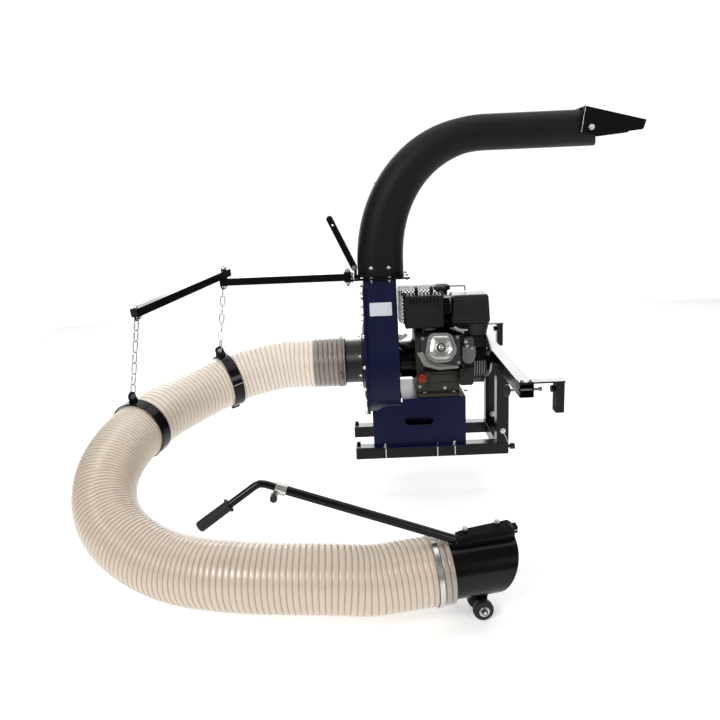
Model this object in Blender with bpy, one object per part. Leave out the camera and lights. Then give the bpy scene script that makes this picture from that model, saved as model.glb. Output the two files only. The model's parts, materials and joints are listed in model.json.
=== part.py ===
# Tailgate-hung leaf vacuum: blower and engine on a tube frame, boom with ribbed hose, elbow chute.
# Metres, Z up. Drawing zero: crank axis, middle of the frame, underside of the rails.
# World zero: middle of the tailgate edge, under the hook plates.
import math

import bpy
import numpy as np
from mathutils import Matrix, Vector

# Frame
TAILGATE = Vector((0.417, 0.0, 0.418))
TUBE = 0.050
TUBE_WALL = 0.003
GAP = 0.0003
RAIL_Y = (-0.135, 0.137)
RAIL_LEFT = (-0.264, -0.273)
RAIL_RIGHT = 0.375
POST_TOP = 0.368
BAR_X = 0.353
BAR_HALF = 0.572
HOOK_PLATE = 0.006
HOOK_DEPTH = 0.046
HOOK_REACH = 0.488
HOOK_LIP = 0.003
LEG_THICK = 0.030
LEG_X = HOOK_REACH - HOOK_LIP - LEG_THICK
LEG_BOTTOM = 0.308
PAD_HIGH, PAD_R = 0.014, 0.013
TAILGATE_ROOM = 0.041
SCREW_X = LEG_X - PAD_HIGH - TAILGATE_ROOM
SCREW_Z = 0.393
SCREW_R, SCREW_LONG = 0.005, 0.102
SCREW_INSET = 0.020
SCREW_Y = BAR_HALF - SCREW_INSET

# Pedestal
PED_LEFT, PED_RIGHT = -0.187, 0.198
PED_TOP = 0.2565
PED_SIDE = 0.156
SHEET = 0.004
SLOT_X = (-0.055, 0.064)
SLOT_Z = (0.138, 0.177)

# Blower
CRANK_Z = 0.390
DRUM_R = 0.220
DRUM_X = (-0.205, -0.072)
DUCT_HALF = 0.110
DUCT_TOP = 0.747
DUCT_FLANGE = 0.008
FLANGE_X = -0.1385
FLANGE_HALF = 0.1225
COVER_LIP = 0.014
INLET_R = 0.0933
INLET_END = -0.426
ADAPTER_R = 0.085

# Engine
ENGINE_BASE = 0.2573
CYL_X = (0.022, 0.158)
CYL_TILT = math.radians(20)
VALVE_X = 0.090
SHAFT_R = 0.0125

# Chute
CHUTE_X = -0.1385
CHUTE_FOOT = DUCT_TOP + DUCT_FLANGE + GAP
ELBOW_START = CHUTE_FOOT + 0.0447
ELBOW_AXIS_Z = 1.3040
ELBOW_R = 0.0700
ELBOW_BASE = 0.095
ELBOW_WALL = 0.004
BEND_FULL = 0.94
ELBOW_MOUTH = 0.7115
ELBOW_STRAIGHT = 0.1915
HOOD_PIVOT = (ELBOW_MOUTH - 0.0065, ELBOW_AXIS_Z - 0.004)
HOOD_HALF = 0.080

# Boom
PIVOT = Vector((-0.268, -0.030, DUCT_TOP + DUCT_FLANGE))
ARM = 0.030
JOINT = Vector((-0.780, -0.020, PIVOT.z))
ARM_END = Vector((-1.007, -0.494, PIVOT.z - 0.037))

# Hose
RIB_R, VALLEY_R, BORE_R = 0.1065, 0.1035, 0.1015
RIB_PITCH = 0.020
HOSE_SIDES = 8
BAND_WIDTH = 0.045
BAND_IN, BAND_OUT = 0.1090, 0.1125
BAND_LEAN = math.radians(2)
CLIP_R = 0.1085
BAND_1 = Vector((-0.790, -0.072, 0.346))
BAND_2 = Vector((-1.046, -0.471, 0.279))
HOSE_START = Vector((-0.292, 0.0, 0.390))
HOSE_END = Vector((0.020, -1.006, -0.028))
HOSE_STRAIGHT = 0.205
HOSE_BENDS = (
    (-0.654, -0.022, 0.375), BAND_1[:], (-0.895, -0.175, 0.319), (-0.975, -0.309, 0.303), BAND_2[:],
    (-1.092, -0.598, 0.234), (-1.108, -0.723, 0.157), (-1.059, -0.831, 0.077), (-0.959, -0.911, 0.023),
    (-0.834, -0.970, -0.009), (-0.675, -1.018, -0.016), (-0.489, -1.040, -0.021), (-0.310, -1.044, -0.029),
)


# Nozzle and handle
NOZZLE_YAW = math.radians(8)
NOZZLE_PITCH = math.radians(3)
CHANNEL_TURN = math.radians(14)
NOZZLE_TOP, NOZZLE_LOW = 0.203, 0.133
WHEEL_R = 0.032
WHEEL_BACK, WHEEL_Z = 0.099, -0.1625
HANDLE_R = 0.0135
CLAMP_AT = Vector((-0.482, -1.060, 0.284))
GRIP_END = Vector((-0.698, -1.098, 0.187))
GRIP_LONG = 0.108

NAVY = (0.0105, 0.0130, 0.0420)
BLACK = (0.0120, 0.0120, 0.0130)
PLASTIC = (0.0160, 0.0160, 0.0170)
IVORY = (0.640, 0.560, 0.450)
ZINC = (0.560, 0.560, 0.550)
SILVER = (0.470, 0.480, 0.470)
OLIVE = (0.110, 0.110, 0.095)
RUBBER = (0.0150, 0.0150, 0.0150)
ORANGE = (0.520, 0.060, 0.020)

for old in list(bpy.data.objects):
    bpy.data.objects.remove(old)

machine = bpy.data.objects.new("machine", None)
machine.location = -TAILGATE
bpy.context.scene.collection.objects.link(machine)


def finish(name, colour, rough, metal):
    kind = bpy.data.materials.new(name)
    kind.use_nodes = True
    shader = kind.node_tree.nodes["Principled BSDF"]
    shader.inputs["Base Color"].default_value = (*colour, 1.0)
    shader.inputs["Roughness"].default_value = rough
    shader.inputs["Metallic"].default_value = metal
    kind.diffuse_color = (*colour, 1.0)
    return kind


navy_paint = ("dark_blue_paint", NAVY, 0.30, 0.0)
black_coat = ("black_powder_coat", BLACK, 0.25, 0.0)
black_plastic = ("black_plastic", PLASTIC, 0.45, 0.0)
hose_plastic = ("ivory_hose_plastic", IVORY, 0.40, 0.0)
zinc_plate = ("zinc_plate", ZINC, 0.35, 1.0)
cast_silver = ("bare_casting", SILVER, 0.35, 1.0)
cast_grey = ("painted_casting", OLIVE, 0.45, 0.6)
soft_rubber = ("rubber", RUBBER, 0.70, 0.0)
orange_plastic = ("orange_plastic", ORANGE, 0.40, 0.0)


def solid(name, verts, faces, coat, pivot=None, smooth=False):
    """A named body; with a pivot its origin lies there, on the joint's axis."""
    pivot = Vector(pivot if pivot is not None else (0.0, 0.0, 0.0))
    mesh = bpy.data.meshes.new(name)
    mesh.from_pydata([tuple(Vector(v) - pivot) for v in verts], [], [tuple(f) for f in faces])
    mesh.materials.append(finish(*coat))
    mesh.polygons.foreach_set("use_smooth", [smooth] * len(mesh.polygons))
    mesh.update()
    body = bpy.data.objects.new(name, mesh)
    body.location = pivot
    body.parent = machine
    bpy.context.scene.collection.objects.link(body)
    return body


def join(body, *tools, operation="UNION"):
    """Unites or cuts the body with helper solids, which stay as hidden wires."""
    for tool in tools:
        change = body.modifiers.new(operation.lower(), "BOOLEAN")
        change.object = tool
        change.operation = operation
        change.solver = "EXACT"
        tool.hide_render = True
        tool.display_type = "WIRE"
    return body


def cut(body, *tools):
    return join(body, *tools, operation="DIFFERENCE")


def loft(rings, closed=False):
    """Skins equal rings of points one after the other; caps the ends unless the loft closes on itself."""
    count, sides = len(rings), len(rings[0])
    verts = [p for ring in rings for p in ring]
    faces = []
    for i in range(count if closed else count - 1):
        a, b = i * sides, (i + 1) % count * sides
        for j in range(sides):
            k = (j + 1) % sides
            faces.append((a + j, a + k, b + k, b + j))
    if not closed:
        faces.append(tuple(reversed(range(sides))))
        faces.append(tuple(range((count - 1) * sides, count * sides)))
    return verts, faces


def outward(verts, faces):
    """Turns the faces round if the body's signed volume is negative."""
    points = np.array([tuple(v) for v in verts])
    volume = 0.0
    for face in faces:
        for i in range(1, len(face) - 1):
            volume += np.linalg.det(points[[face[0], face[i], face[i + 1]]])
    return (verts, faces) if volume > 0 else (verts, [tuple(reversed(f)) for f in faces])


def box(name, low, high, coat=black_coat, chamfer=0.0, pivot=None):
    (x0, y0, z0), (x1, y1, z1) = low, high
    ring = [(x0, y0), (x1, y0), (x1, y1), (x0, y1)]
    rings = [[(x, y, z) for x, y in ring] for z in (z0, z1)]
    body = solid(name, *outward(*loft(rings)), coat, pivot)
    if chamfer:
        edge = body.modifiers.new("edges", "BEVEL")
        edge.width = chamfer
        edge.segments = 1
    return body


def prism(name, outline, low, high, axis, coat=black_coat, pivot=None, smooth=False):
    """An outline extruded along X, Y or Z; the outline gives the other two coordinates in order."""
    def place(p, h):
        return {"X": (h, p[0], p[1]), "Y": (p[0], h, p[1]), "Z": (p[0], p[1], h)}[axis]
    rings = [[place(p, h) for p in outline] for h in (low, high)]
    return solid(name, *outward(*loft(rings)), coat, pivot, smooth)


def frame_of(direction):
    """Two unit vectors square to the direction, the second as upright as it can be."""
    d = Vector(direction).normalized()
    side = d.cross(Vector((0, 0, 1)))
    side = Vector((0, 1, 0)) if side.length < 1e-6 else side.normalized()
    return side, side.cross(d).normalized()


def circle(centre, direction, radius, sides, turn=0.5):
    side, up = frame_of(direction)
    angles = [2 * math.pi * (i + turn) / sides for i in range(sides)]
    return [Vector(centre) + radius * (math.cos(a) * side + math.sin(a) * up) for a in angles]


def turned(name, origin, direction, profile, coat, sides=24, pivot=None, smooth=True):
    """A body of revolution: the profile is a closed loop of (along, radius) with every radius above zero."""
    d = Vector(direction).normalized()
    rings = [circle(Vector(origin) + d * s, d, r, sides) for s, r in profile]
    return solid(name, *outward(*loft(rings, closed=True)), coat, pivot, smooth)


def disc(name, origin, direction, profile, coat, sides=24, pivot=None, smooth=True):
    """A full body of revolution: (along, radius) from one flat end to the other."""
    d = Vector(direction).normalized()
    rings = [circle(Vector(origin) + d * s, d, r, sides) for s, r in profile]
    return solid(name, *outward(*loft(rings)), coat, pivot, smooth)


def tube_along(points, radius, sides):
    """Rings of a round bar that follows the points, each ring halving the bend."""
    points = [Vector(p) for p in points]
    rings = []
    for i, p in enumerate(points):
        before = (p - points[i - 1]).normalized() if i else None
        after = (points[i + 1] - p).normalized() if i < len(points) - 1 else None
        way = after if before is None else before if after is None else (before + after).normalized()
        rings.append(circle(p, way, radius, sides))
    return rings


def arc(centre, radius, start, stop, steps):
    return [
        (centre[0] + radius * math.cos(math.radians(a)), centre[1] + radius * math.sin(math.radians(a)))
        for a in np.linspace(start, stop, steps)
    ]


# Frame of square tube, welded in the real machine; here each tube is a piece of its own
half = TUBE / 2
for side, y, left in (("front", RAIL_Y[0], RAIL_LEFT[0]), ("back", RAIL_Y[1], RAIL_LEFT[1])):
    rail = box(f"{side}_rail", (left, y - half, 0.0), (RAIL_RIGHT, y + half, TUBE))
    stop = box(f"{side}_rail_stop", (left + 0.004, y + half - 0.010, TUBE - 0.002),
               (left + 0.020, y + half - 0.001, TUBE + 0.013))
    join(rail, stop)
    box(f"{side}_post", (RAIL_RIGHT - TUBE, y - half, TUBE + GAP), (RAIL_RIGHT, y + half, POST_TOP - GAP))
box("post_tie", (RAIL_RIGHT - TUBE, RAIL_Y[0] + half + GAP, 0.0), (RAIL_RIGHT, RAIL_Y[1] - half - GAP, TUBE))

crossbar = box("crossbar", (BAR_X - half, -BAR_HALF, POST_TOP), (BAR_X + half, BAR_HALF, POST_TOP + TUBE))
inner = half - TUBE_WALL
bore = box("crossbar_bore", (BAR_X - inner, -BAR_HALF - HOOK_DEPTH, POST_TOP + TUBE_WALL),
           (BAR_X + inner, BAR_HALF + HOOK_DEPTH, POST_TOP + TUBE - TUBE_WALL))
cut(crossbar, bore)
for name, sign in (("near", -1), ("far", 1)):
    y = sign * SCREW_Y
    hole = disc(f"{name}_screw_hole", (BAR_X - TUBE, y, SCREW_Z), (1, 0, 0),
                ((0.0, SCREW_R + 0.0006), (2 * TUBE, SCREW_R + 0.0006)), black_coat, 16)
    cut(crossbar, hole)
    edge, inner_edge = sign * BAR_HALF, sign * (BAR_HALF - HOOK_DEPTH)
    low_y, high_y = min(edge, inner_edge), max(edge, inner_edge)
    top = POST_TOP + TUBE + GAP
    hook = prism(f"{name}_hook", (
        (BAR_X - half, top), (LEG_X, top), (LEG_X, LEG_BOTTOM), (HOOK_REACH - HOOK_LIP, LEG_BOTTOM),
        (HOOK_REACH - HOOK_LIP, top), (HOOK_REACH, top), (HOOK_REACH, top + HOOK_PLATE),
        (BAR_X - half, top + HOOK_PLATE)), low_y, high_y, "Y")
    pad = disc(f"{name}_pad", (LEG_X + 0.001, y, SCREW_Z), (-1, 0, 0),
               ((0.0, PAD_R - 0.004), (0.006, PAD_R), (PAD_HIGH + 0.001, PAD_R)), soft_rubber, 16)
    join(hook, pad)
    disc(f"{name}_clamp_screw", (SCREW_X, y, SCREW_Z), (-1, 0, 0), (
        (-0.010, 0.006), (-0.008, 0.008), (0.000, 0.008), (0.000, SCREW_R), (SCREW_LONG, SCREW_R),
        (SCREW_LONG, 0.012), (SCREW_LONG + 0.005, 0.021), (SCREW_LONG + 0.018, 0.021),
        (SCREW_LONG + 0.022, 0.015)), zinc_plate, 16, (SCREW_X, y, SCREW_Z))
stand_off_z = 0.024
stand_off = disc("stand_off_screw", (RAIL_RIGHT + 0.002, RAIL_Y[0], stand_off_z), (1, 0, 0), (
    (0.0, 0.007), (0.010, 0.007), (0.010, 0.013), (0.028, 0.013)), soft_rubber, 16,
    (RAIL_RIGHT, RAIL_Y[0], stand_off_z))
stand_off_stem = disc("stand_off_stem", (RAIL_RIGHT - 0.02, RAIL_Y[0], stand_off_z), (1, 0, 0),
                      ((0.0, 0.0045), (0.025, 0.0045)), zinc_plate, 12)
join(stand_off, stand_off_stem)
cut(bpy.data.objects["front_rail"],
    disc("stand_off_bore", (RAIL_RIGHT - 0.022, RAIL_Y[0], stand_off_z), (1, 0, 0),
         ((0.0, 0.0055), (0.03, 0.0055)), black_coat, 12))


# Pedestal: one folded sheet with feet turned out, hand slots and a corner cut round for the drum
def drum_z(y):
    return CRANK_Z - math.sqrt(DRUM_R ** 2 - y ** 2)


foot_z = TUBE + GAP
clear = drum_z(PED_SIDE - SHEET) - 0.002
step_x = DRUM_X[1] + 0.008
corner = [(-0.115 + (PED_LEFT + 0.115) * math.cos(math.radians(a)),
           0.172 + (clear - 0.172) * math.sin(math.radians(a))) for a in np.linspace(0, 90, 7)]
side_outline = [(PED_LEFT, foot_z), *corner, (step_x, clear), (step_x, PED_TOP),
                (PED_RIGHT, PED_TOP), (PED_RIGHT, foot_z)]
pedestal = prism("engine_pedestal", side_outline, -PED_SIDE, -PED_SIDE + SHEET, "Y", navy_paint)
far_side = prism("pedestal_far_side", side_outline, PED_SIDE - SHEET, PED_SIDE, "Y", navy_paint)
ped_top = box("pedestal_top", (step_x, -PED_SIDE + 0.001, PED_TOP - SHEET),
              (PED_RIGHT, PED_SIDE - 0.001, PED_TOP))
near_foot = box("pedestal_near_foot", (PED_LEFT, -PED_SIDE - 0.024, foot_z),
                (PED_RIGHT, -PED_SIDE + 0.001, foot_z + SHEET))
far_foot = box("pedestal_far_foot", (PED_LEFT, PED_SIDE - 0.001, foot_z),
               (PED_RIGHT, PED_SIDE + 0.024, foot_z + SHEET))
join(pedestal, far_side, ped_top, near_foot, far_foot)
slot_r = (SLOT_Z[1] - SLOT_Z[0]) / 2
slot_mid = (SLOT_Z[0] + SLOT_Z[1]) / 2
slot_line = arc((SLOT_X[1] - slot_r, slot_mid), slot_r, -90, 90, 7)
slot_line += arc((SLOT_X[0] + slot_r, slot_mid), slot_r, 90, 270, 7)
cut(pedestal, prism("pedestal_slot", slot_line, -0.2, 0.2, "Y"))


# Blower: drum and duct rolled from sheet, open towards the bolted side cover
def scroll(grow, top):
    """Outline of drum and outlet duct in (y, z), offset outwards by grow."""
    r, w = DRUM_R + grow, DUCT_HALF + grow
    away = DUCT_TOP - CRANK_Z
    reach = math.hypot(w, away)
    lean = math.atan2(away, -w)
    tangent = lean + math.acos(r / reach)
    back = math.asin(w / r)
    start, stop = math.degrees(tangent), 450 - math.degrees(back)
    ring = arc((0.0, CRANK_Z), r, start, stop, 25)
    foot = (w, ring[-1][1])
    slope = (-w - ring[0][0]) / (DUCT_TOP - ring[0][1])
    front = (-w + slope * (top - DUCT_TOP), top)
    return [front, *ring, foot, (w, top)]


housing = prism("blower_housing", scroll(0.0, DUCT_TOP + 0.001), *DRUM_X, "X", navy_paint)
lip = prism("housing_lip", scroll(COVER_LIP, DUCT_TOP - 0.030), DRUM_X[0], DRUM_X[0] + SHEET, "X", navy_paint)
plate_outline = (
    (FLANGE_X - FLANGE_HALF, -FLANGE_HALF), (FLANGE_X + FLANGE_HALF, -FLANGE_HALF),
    (FLANGE_X + FLANGE_HALF, FLANGE_HALF), (FLANGE_X - FLANGE_HALF, FLANGE_HALF),
    (FLANGE_X - FLANGE_HALF, 0.004), (-0.2460, 0.004), (-0.2460, -0.064), (FLANGE_X - FLANGE_HALF, -0.064))
plate = prism("duct_flange", plate_outline, DUCT_TOP, CHUTE_FOOT - GAP, "Z", black_coat)
join(housing, lip, plate)
hollow = prism("housing_hollow", scroll(-0.003, DUCT_TOP + 0.03), DRUM_X[0] - 0.01, DRUM_X[1] - SHEET, "X")
shaft_hole = disc("housing_shaft_hole", (DRUM_X[1] - 0.02, 0, CRANK_Z), (1, 0, 0),
                  ((0.0, 0.030), (0.04, 0.030)), navy_paint, 20)
cut(housing, hollow, shaft_hole)

cover_x = DRUM_X[0] - GAP
cover = prism("inlet_cover", scroll(COVER_LIP, DUCT_TOP - 0.030), cover_x - SHEET, cover_x, "X", navy_paint)
dish = disc("cover_dish", (cover_x - 0.001, 0, CRANK_Z), (-1, 0, 0),
            ((0.0, 0.170), (0.006, 0.170), (0.012, 0.150)), navy_paint, 32)
join(cover, dish)
inlet_hole = disc("cover_hole", (cover_x + 0.01, 0, CRANK_Z), (-1, 0, 0),
                  ((0.0, INLET_R - 0.004), (0.04, INLET_R - 0.004)), navy_paint, 32)
dish_hollow = disc("cover_dish_hollow", (cover_x + 0.01, 0, CRANK_Z), (-1, 0, 0),
                   ((0.0, 0.166), (0.0125, 0.166), (0.0185, 0.147)), navy_paint, 32)
cut(cover, dish_hollow, inlet_hole)
collar_x = cover_x - 0.013 - GAP
turned("inlet_collar", (collar_x, 0, CRANK_Z), (-1, 0, 0), (
    (0.0, INLET_R - 0.004), (0.0, 0.118), (0.005, 0.118), (0.005, INLET_R + 0.002), (0.010, INLET_R),
    (collar_x - INLET_END, INLET_R), (collar_x - INLET_END, INLET_R - 0.004)), black_plastic, 32)
adapter_x = DRUM_X[1] + GAP
turned("adapter", (adapter_x, 0, CRANK_Z), (1, 0, 0), (
    (0.0, 0.060), (0.0, ADAPTER_R), (0.006, ADAPTER_R), (0.010, ADAPTER_R - 0.006),
    (0.058, ADAPTER_R - 0.006), (0.062, ADAPTER_R), (0.0714, ADAPTER_R), (0.0714, 0.060)), black_coat, 28)

# Rotor: crankshaft through the crankcase, paddle impeller at one end, flywheel fan at the other
shaft_left, shaft_right = -0.195, 0.302
crank_axis = (shaft_left, 0, CRANK_Z)
disc("crankshaft", crank_axis, (1, 0, 0), (
    (0.0, 0.009), (0.003, SHAFT_R), (shaft_right - shaft_left - 0.003, SHAFT_R),
    (shaft_right - shaft_left, 0.009)), cast_silver, 16, crank_axis)
bore_r = SHAFT_R + GAP
wheel_x = -0.180
impeller = turned("impeller", (wheel_x, 0, CRANK_Z), (1, 0, 0), (
    (0.0, bore_r), (0.0, 0.030), (0.085, 0.030), (0.085, 0.150), (0.091, 0.150), (0.091, bore_r)),
    black_coat, 24, crank_axis)
for i in range(6):
    a = math.radians(60 * i + 15)
    way, across = Vector((0, math.cos(a), math.sin(a))), Vector((0, -math.sin(a), math.cos(a)))
    at = Vector((wheel_x, 0, CRANK_Z))
    ring = [at + Vector((x, 0, 0)) + way * r for x, r in (
        (0.004, 0.026), (0.004, 0.150), (0.030, 0.198), (0.087, 0.198), (0.087, 0.026))]
    paddle = solid(f"paddle_{i}", *outward(*loft([[p + across * t for p in ring] for t in (-0.002, 0.002)])),
                   black_coat, crank_axis)
    join(impeller, paddle)
fly_x = 0.250
flywheel = turned("flywheel", (fly_x, 0, CRANK_Z), (1, 0, 0), (
    (0.0, bore_r), (0.0, 0.078), (0.018, 0.078), (0.022, 0.074), (0.022, bore_r)), cast_silver, 24, crank_axis)
for i in range(8):
    a = math.radians(45 * i)
    way, across = Vector((0, math.cos(a), math.sin(a))), Vector((0, -math.sin(a), math.cos(a)))
    at = Vector((fly_x, 0, CRANK_Z))
    ring = [at + Vector((x, 0, 0)) + way * r for x, r in (
        (0.012, 0.048), (0.012, 0.0765), (0.034, 0.082), (0.034, 0.048))]
    join(flywheel, solid(f"fan_blade_{i}", *outward(*loft(
        [[p + across * t for p in ring] for t in (-0.0015, 0.0015)])), cast_silver, crank_axis))

# Engine: inclined single cylinder, aluminium crankcase on a wide base
def tilt(s, h):
    """(y, z) of a point s along the cylinder's axis and h square to it, upwards."""
    c, k = math.cos(CYL_TILT), math.sin(CYL_TILT)
    return (-s * c + h * k, CRANK_Z + s * k + h * c)


DECK, HEAD_SEAT, COVER_SEAT = 0.110, 0.2045, 0.250
FIN_H, CORE_H = 0.060, 0.045
case_line = [(-0.150, ENGINE_BASE), (-0.150, 0.271), (-0.135, 0.280), (-0.135, 0.360),
             tilt(DECK, -FIN_H), tilt(DECK, FIN_H), (-0.040, 0.505), (0.080, 0.505), (0.120, 0.460),
             (0.120, 0.280), (0.145, 0.271), (0.145, ENGINE_BASE)]
crankcase = prism("crankcase", case_line, 0.0, 0.232, "X", cast_grey)
oil_at = (0.020, -0.135, 0.345)
oil_neck = disc("oil_neck", (oil_at[0], -0.130, oil_at[2]), (0, -1, 0), ((0.0, 0.017), (0.032, 0.015)), cast_grey, 16)
join(crankcase, oil_neck)
cut(crankcase, box("case_relief", (0.176, -0.20, 0.25), (0.30, 0.20, 0.3065), cast_grey))
cut(crankcase, disc("case_bore", (-0.01, 0, CRANK_Z), (1, 0, 0), (
    (0.0, SHAFT_R + 0.0005), (0.25, SHAFT_R + 0.0005)), cast_grey, 16))
disc("oil_cap", (oil_at[0], -0.1623, oil_at[2]), (0, -1, 0), (
    (0.0, 0.013), (0.002, 0.019), (0.012, 0.019), (0.015, 0.016)), orange_plastic, 16, oil_at)

fins, pitch, fin = 6, 0.0155, 0.005
comb = []
for h in (1, -1):
    order = range(fins) if h > 0 else reversed(range(fins))
    for i in order:
        s0 = DECK + GAP + 0.008 + i * pitch
        tooth = [(s0, CORE_H), (s0, FIN_H), (s0 + fin, FIN_H), (s0 + fin, CORE_H)]
        comb += [tilt(s, h * r) for s, r in (tooth if h > 0 else reversed(tooth))]
    if h > 0:
        comb += [tilt(HEAD_SEAT, CORE_H), tilt(HEAD_SEAT, -CORE_H)]
comb += [tilt(DECK + GAP, -CORE_H), tilt(DECK + GAP, CORE_H)]
prism("cylinder_barrel", comb, *CYL_X, "X", cast_grey)
head_line = [tilt(HEAD_SEAT + GAP, -0.050), tilt(HEAD_SEAT + GAP, 0.056), tilt(0.222, 0.056), tilt(0.222, 0.050),
             tilt(0.229, 0.050), tilt(0.229, 0.056), tilt(COVER_SEAT, 0.056), tilt(COVER_SEAT, -0.062),
             tilt(0.236, -0.062)]
prism("cylinder_head", head_line, 0.012, 0.166, "X", cast_silver)
cover_axis = (0.0, *(np.array(tilt(1.0, 0.0)) - np.array(tilt(0.0, 0.0))))
cover_at = (VALVE_X, *tilt(COVER_SEAT + GAP, 0.0))
disc("valve_cover", cover_at, cover_axis, (
    (0.0, 0.062), (0.007, 0.062), (0.008, 0.055), (0.020, 0.052), (0.027, 0.042), (0.027, 0.022),
    (0.024, 0.018), (0.024, 0.013), (0.031, 0.012)), cast_silver, 8, smooth=False)

muffler = box("muffler", (-0.045, -0.200, 0.558), (0.106, -0.085, 0.687), black_coat, 0.010)
seat = FIN_H + GAP
stub = prism("muffler_stub", (tilt(0.130, seat), tilt(0.175, seat), (tilt(0.175, seat)[0], 0.562),
                              (tilt(0.130, seat)[0], 0.562)), 0.030, 0.070, "X")
join(muffler, stub)
sheet = 0.002
guard_line = [(-0.067, 0.590), (-0.067, 0.712), (-0.064, 0.715), (0.100, 0.715), (0.118, 0.702),
              (0.118 - sheet, 0.702 - 0.001), (0.099, 0.715 - sheet), (-0.064, 0.715 - sheet),
              (-0.067 + sheet, 0.711), (-0.067 + sheet, 0.590)]
guard = prism("muffler_guard", guard_line, -0.196, -0.078, "Y", zinc_plate)
tabs = [box(f"guard_tab_{i}", (x, -0.150, 0.687 + GAP), (x + 0.012, -0.120, 0.714)) for i, x in enumerate((0.0, 0.06))]
join(guard, *tabs)


def rounded(x0, x1, y0, y1, z, radius, steps=4):
    ring = []
    for cx, cy, a in ((x1 - radius, y1 - radius, 0), (x0 + radius, y1 - radius, 90),
                      (x0 + radius, y0 + radius, 180), (x1 - radius, y0 + radius, 270)):
        ring += [(x, y, z) for x, y in arc((cx, cy), radius, a, a + 90, steps)]
    return ring


solid("air_cleaner_cover", *outward(*loft([
    rounded(0.142, 0.302, -0.156, -0.020, 0.5586, 0.020), rounded(0.142, 0.302, -0.156, -0.020, 0.566, 0.020),
    rounded(0.149, 0.294, -0.152, -0.024, 0.660, 0.020), rounded(0.153, 0.290, -0.148, -0.028, 0.671, 0.020),
    rounded(0.160, 0.283, -0.141, -0.035, 0.676, 0.016)])), black_plastic)
solid("air_cleaner_base", *outward(*loft([
    rounded(0.180, 0.290, -0.130, -0.030, 0.5075, 0.014), rounded(0.152, 0.297, -0.140, -0.026, 0.545, 0.016),
    rounded(0.146, 0.299, -0.150, -0.023, 0.5583, 0.018)])), black_plastic)
carb = box("carburettor", (0.186, -0.186, 0.452), (0.229, -0.140, 0.5072), cast_silver, 0.004)
bowl = disc("carburettor_bowl", (0.208, -0.163, 0.455), (0, 0, -1), (
    (0.0, 0.022), (0.038, 0.022), (0.044, 0.016), (0.050, 0.016)), cast_silver, 16)
intake = box("intake", (CYL_X[1] + GAP, -0.158, 0.456), (0.190, -0.142, 0.500), cast_silver)
join(carb, bowl, intake)
box("control_box", (0.172, -0.172, 0.307), (0.229, -0.1353, 0.385), black_plastic, 0.006)
lever_at = (0.176, -0.152, 0.534)
lever = disc("throttle_lever", lever_at, (0, 1, 0), ((0.0, 0.007), (0.0128, 0.007)), zinc_plate, 12, lever_at)
blade = prism("throttle_blade", (
    (0.139, 0.5480), (0.136, 0.5420), (0.174, 0.529), (0.192, 0.520), (0.195, 0.526), (0.178, 0.5385)),
    lever_at[1] - 0.0005, lever_at[1] + 0.0025, "Y", zinc_plate, lever_at)
join(lever, blade)

tank = solid("fuel_tank", *outward(*loft([
    rounded(0.010, 0.230, 0.010, 0.140, 0.5053, 0.025), rounded(-0.010, 0.285, -0.014, 0.165, 0.530, 0.030),
    rounded(-0.016, 0.290, -0.016, 0.170, 0.585, 0.030), rounded(-0.010, 0.285, -0.010, 0.164, 0.640, 0.030),
    rounded(0.006, 0.268, 0.006, 0.148, 0.655, 0.026)])), black_coat)
cap_at = (0.130, 0.060, 0.655)
neck = disc("filler_neck", (cap_at[0], cap_at[1], 0.650), (0, 0, 1), ((0.0, 0.024), (0.022, 0.024)), black_coat, 16)
join(tank, neck)
disc("fuel_cap", (cap_at[0], cap_at[1], 0.6723), (0, 0, 1), (
    (0.0, 0.034), (0.018, 0.034), (0.024, 0.028), (0.027, 0.020)), black_plastic, 20, cap_at)

# Fan side: shroud over the flywheel, pressed recoil cover, pull handle
SHROUD = (0.2353, 0.2900)
fan_line = [(y, z) for y, z in arc((0.0, CRANK_Z), 0.115, -215, 35, 22)]
fan_line += [(0.060, 0.5070), (-0.125, 0.5070), (-0.125, CRANK_Z + 0.066)]
shroud = prism("fan_shroud", fan_line, *SHROUD, "X", black_coat)
cut(shroud, disc("shroud_hollow", (SHROUD[0] - 0.01, 0, CRANK_Z), (1, 0, 0), (
    (0.0, 0.098), (SHROUD[1] - SHROUD[0] + 0.0065, 0.098)), black_coat, 24),
    disc("shroud_eye", (0.28, 0, CRANK_Z), (1, 0, 0), ((0.0, 0.072), (0.02, 0.072)), black_coat, 24))
recoil_x = SHROUD[1] + GAP
recoil = disc("recoil_cover", (recoil_x, 0, CRANK_Z), (1, 0, 0), (
    (0.0, 0.104), (0.004, 0.104), (0.005, 0.096), (0.020, 0.092), (0.032, 0.074), (0.0355, 0.050)), black_coat, 24)
cut(recoil, disc("recoil_hollow", (recoil_x - 0.01, 0, CRANK_Z), (1, 0, 0), (
    (0.0, 0.090), (0.027, 0.088), (0.0385, 0.071), (0.042, 0.048)), black_coat, 24))
for i in range(8):
    a = math.radians(45 * i + 22.5)
    recoil_slot = disc(f"recoil_slot_{i}", (0.308, 0.0605 * math.cos(a), CRANK_Z + 0.0605 * math.sin(a)), (1, 0, 0),
                       ((0.0, 0.008), (0.05, 0.008)), black_coat, 8)
    cut(recoil, recoil_slot)
pull = Vector((0, math.cos(CYL_TILT), math.sin(CYL_TILT)))
pull_at = Vector((0.305, 0, CRANK_Z)) + pull * 0.0949
disc("starter_handle", pull_at, pull, (
    (0.0, 0.006), (0.008, 0.007), (0.012, 0.014), (0.022, 0.014), (0.026, 0.010)), black_plastic, 12, pull_at)

# Discharge elbow: moulded, rounded square at the foot and round at the mouth, turning on the duct flange
FOOT_R, FOOT_HIGH = 0.107, 0.006
ELBOW_X = -0.131
chute_axis = (CHUTE_X, 0.0, CHUTE_FOOT)


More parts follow.
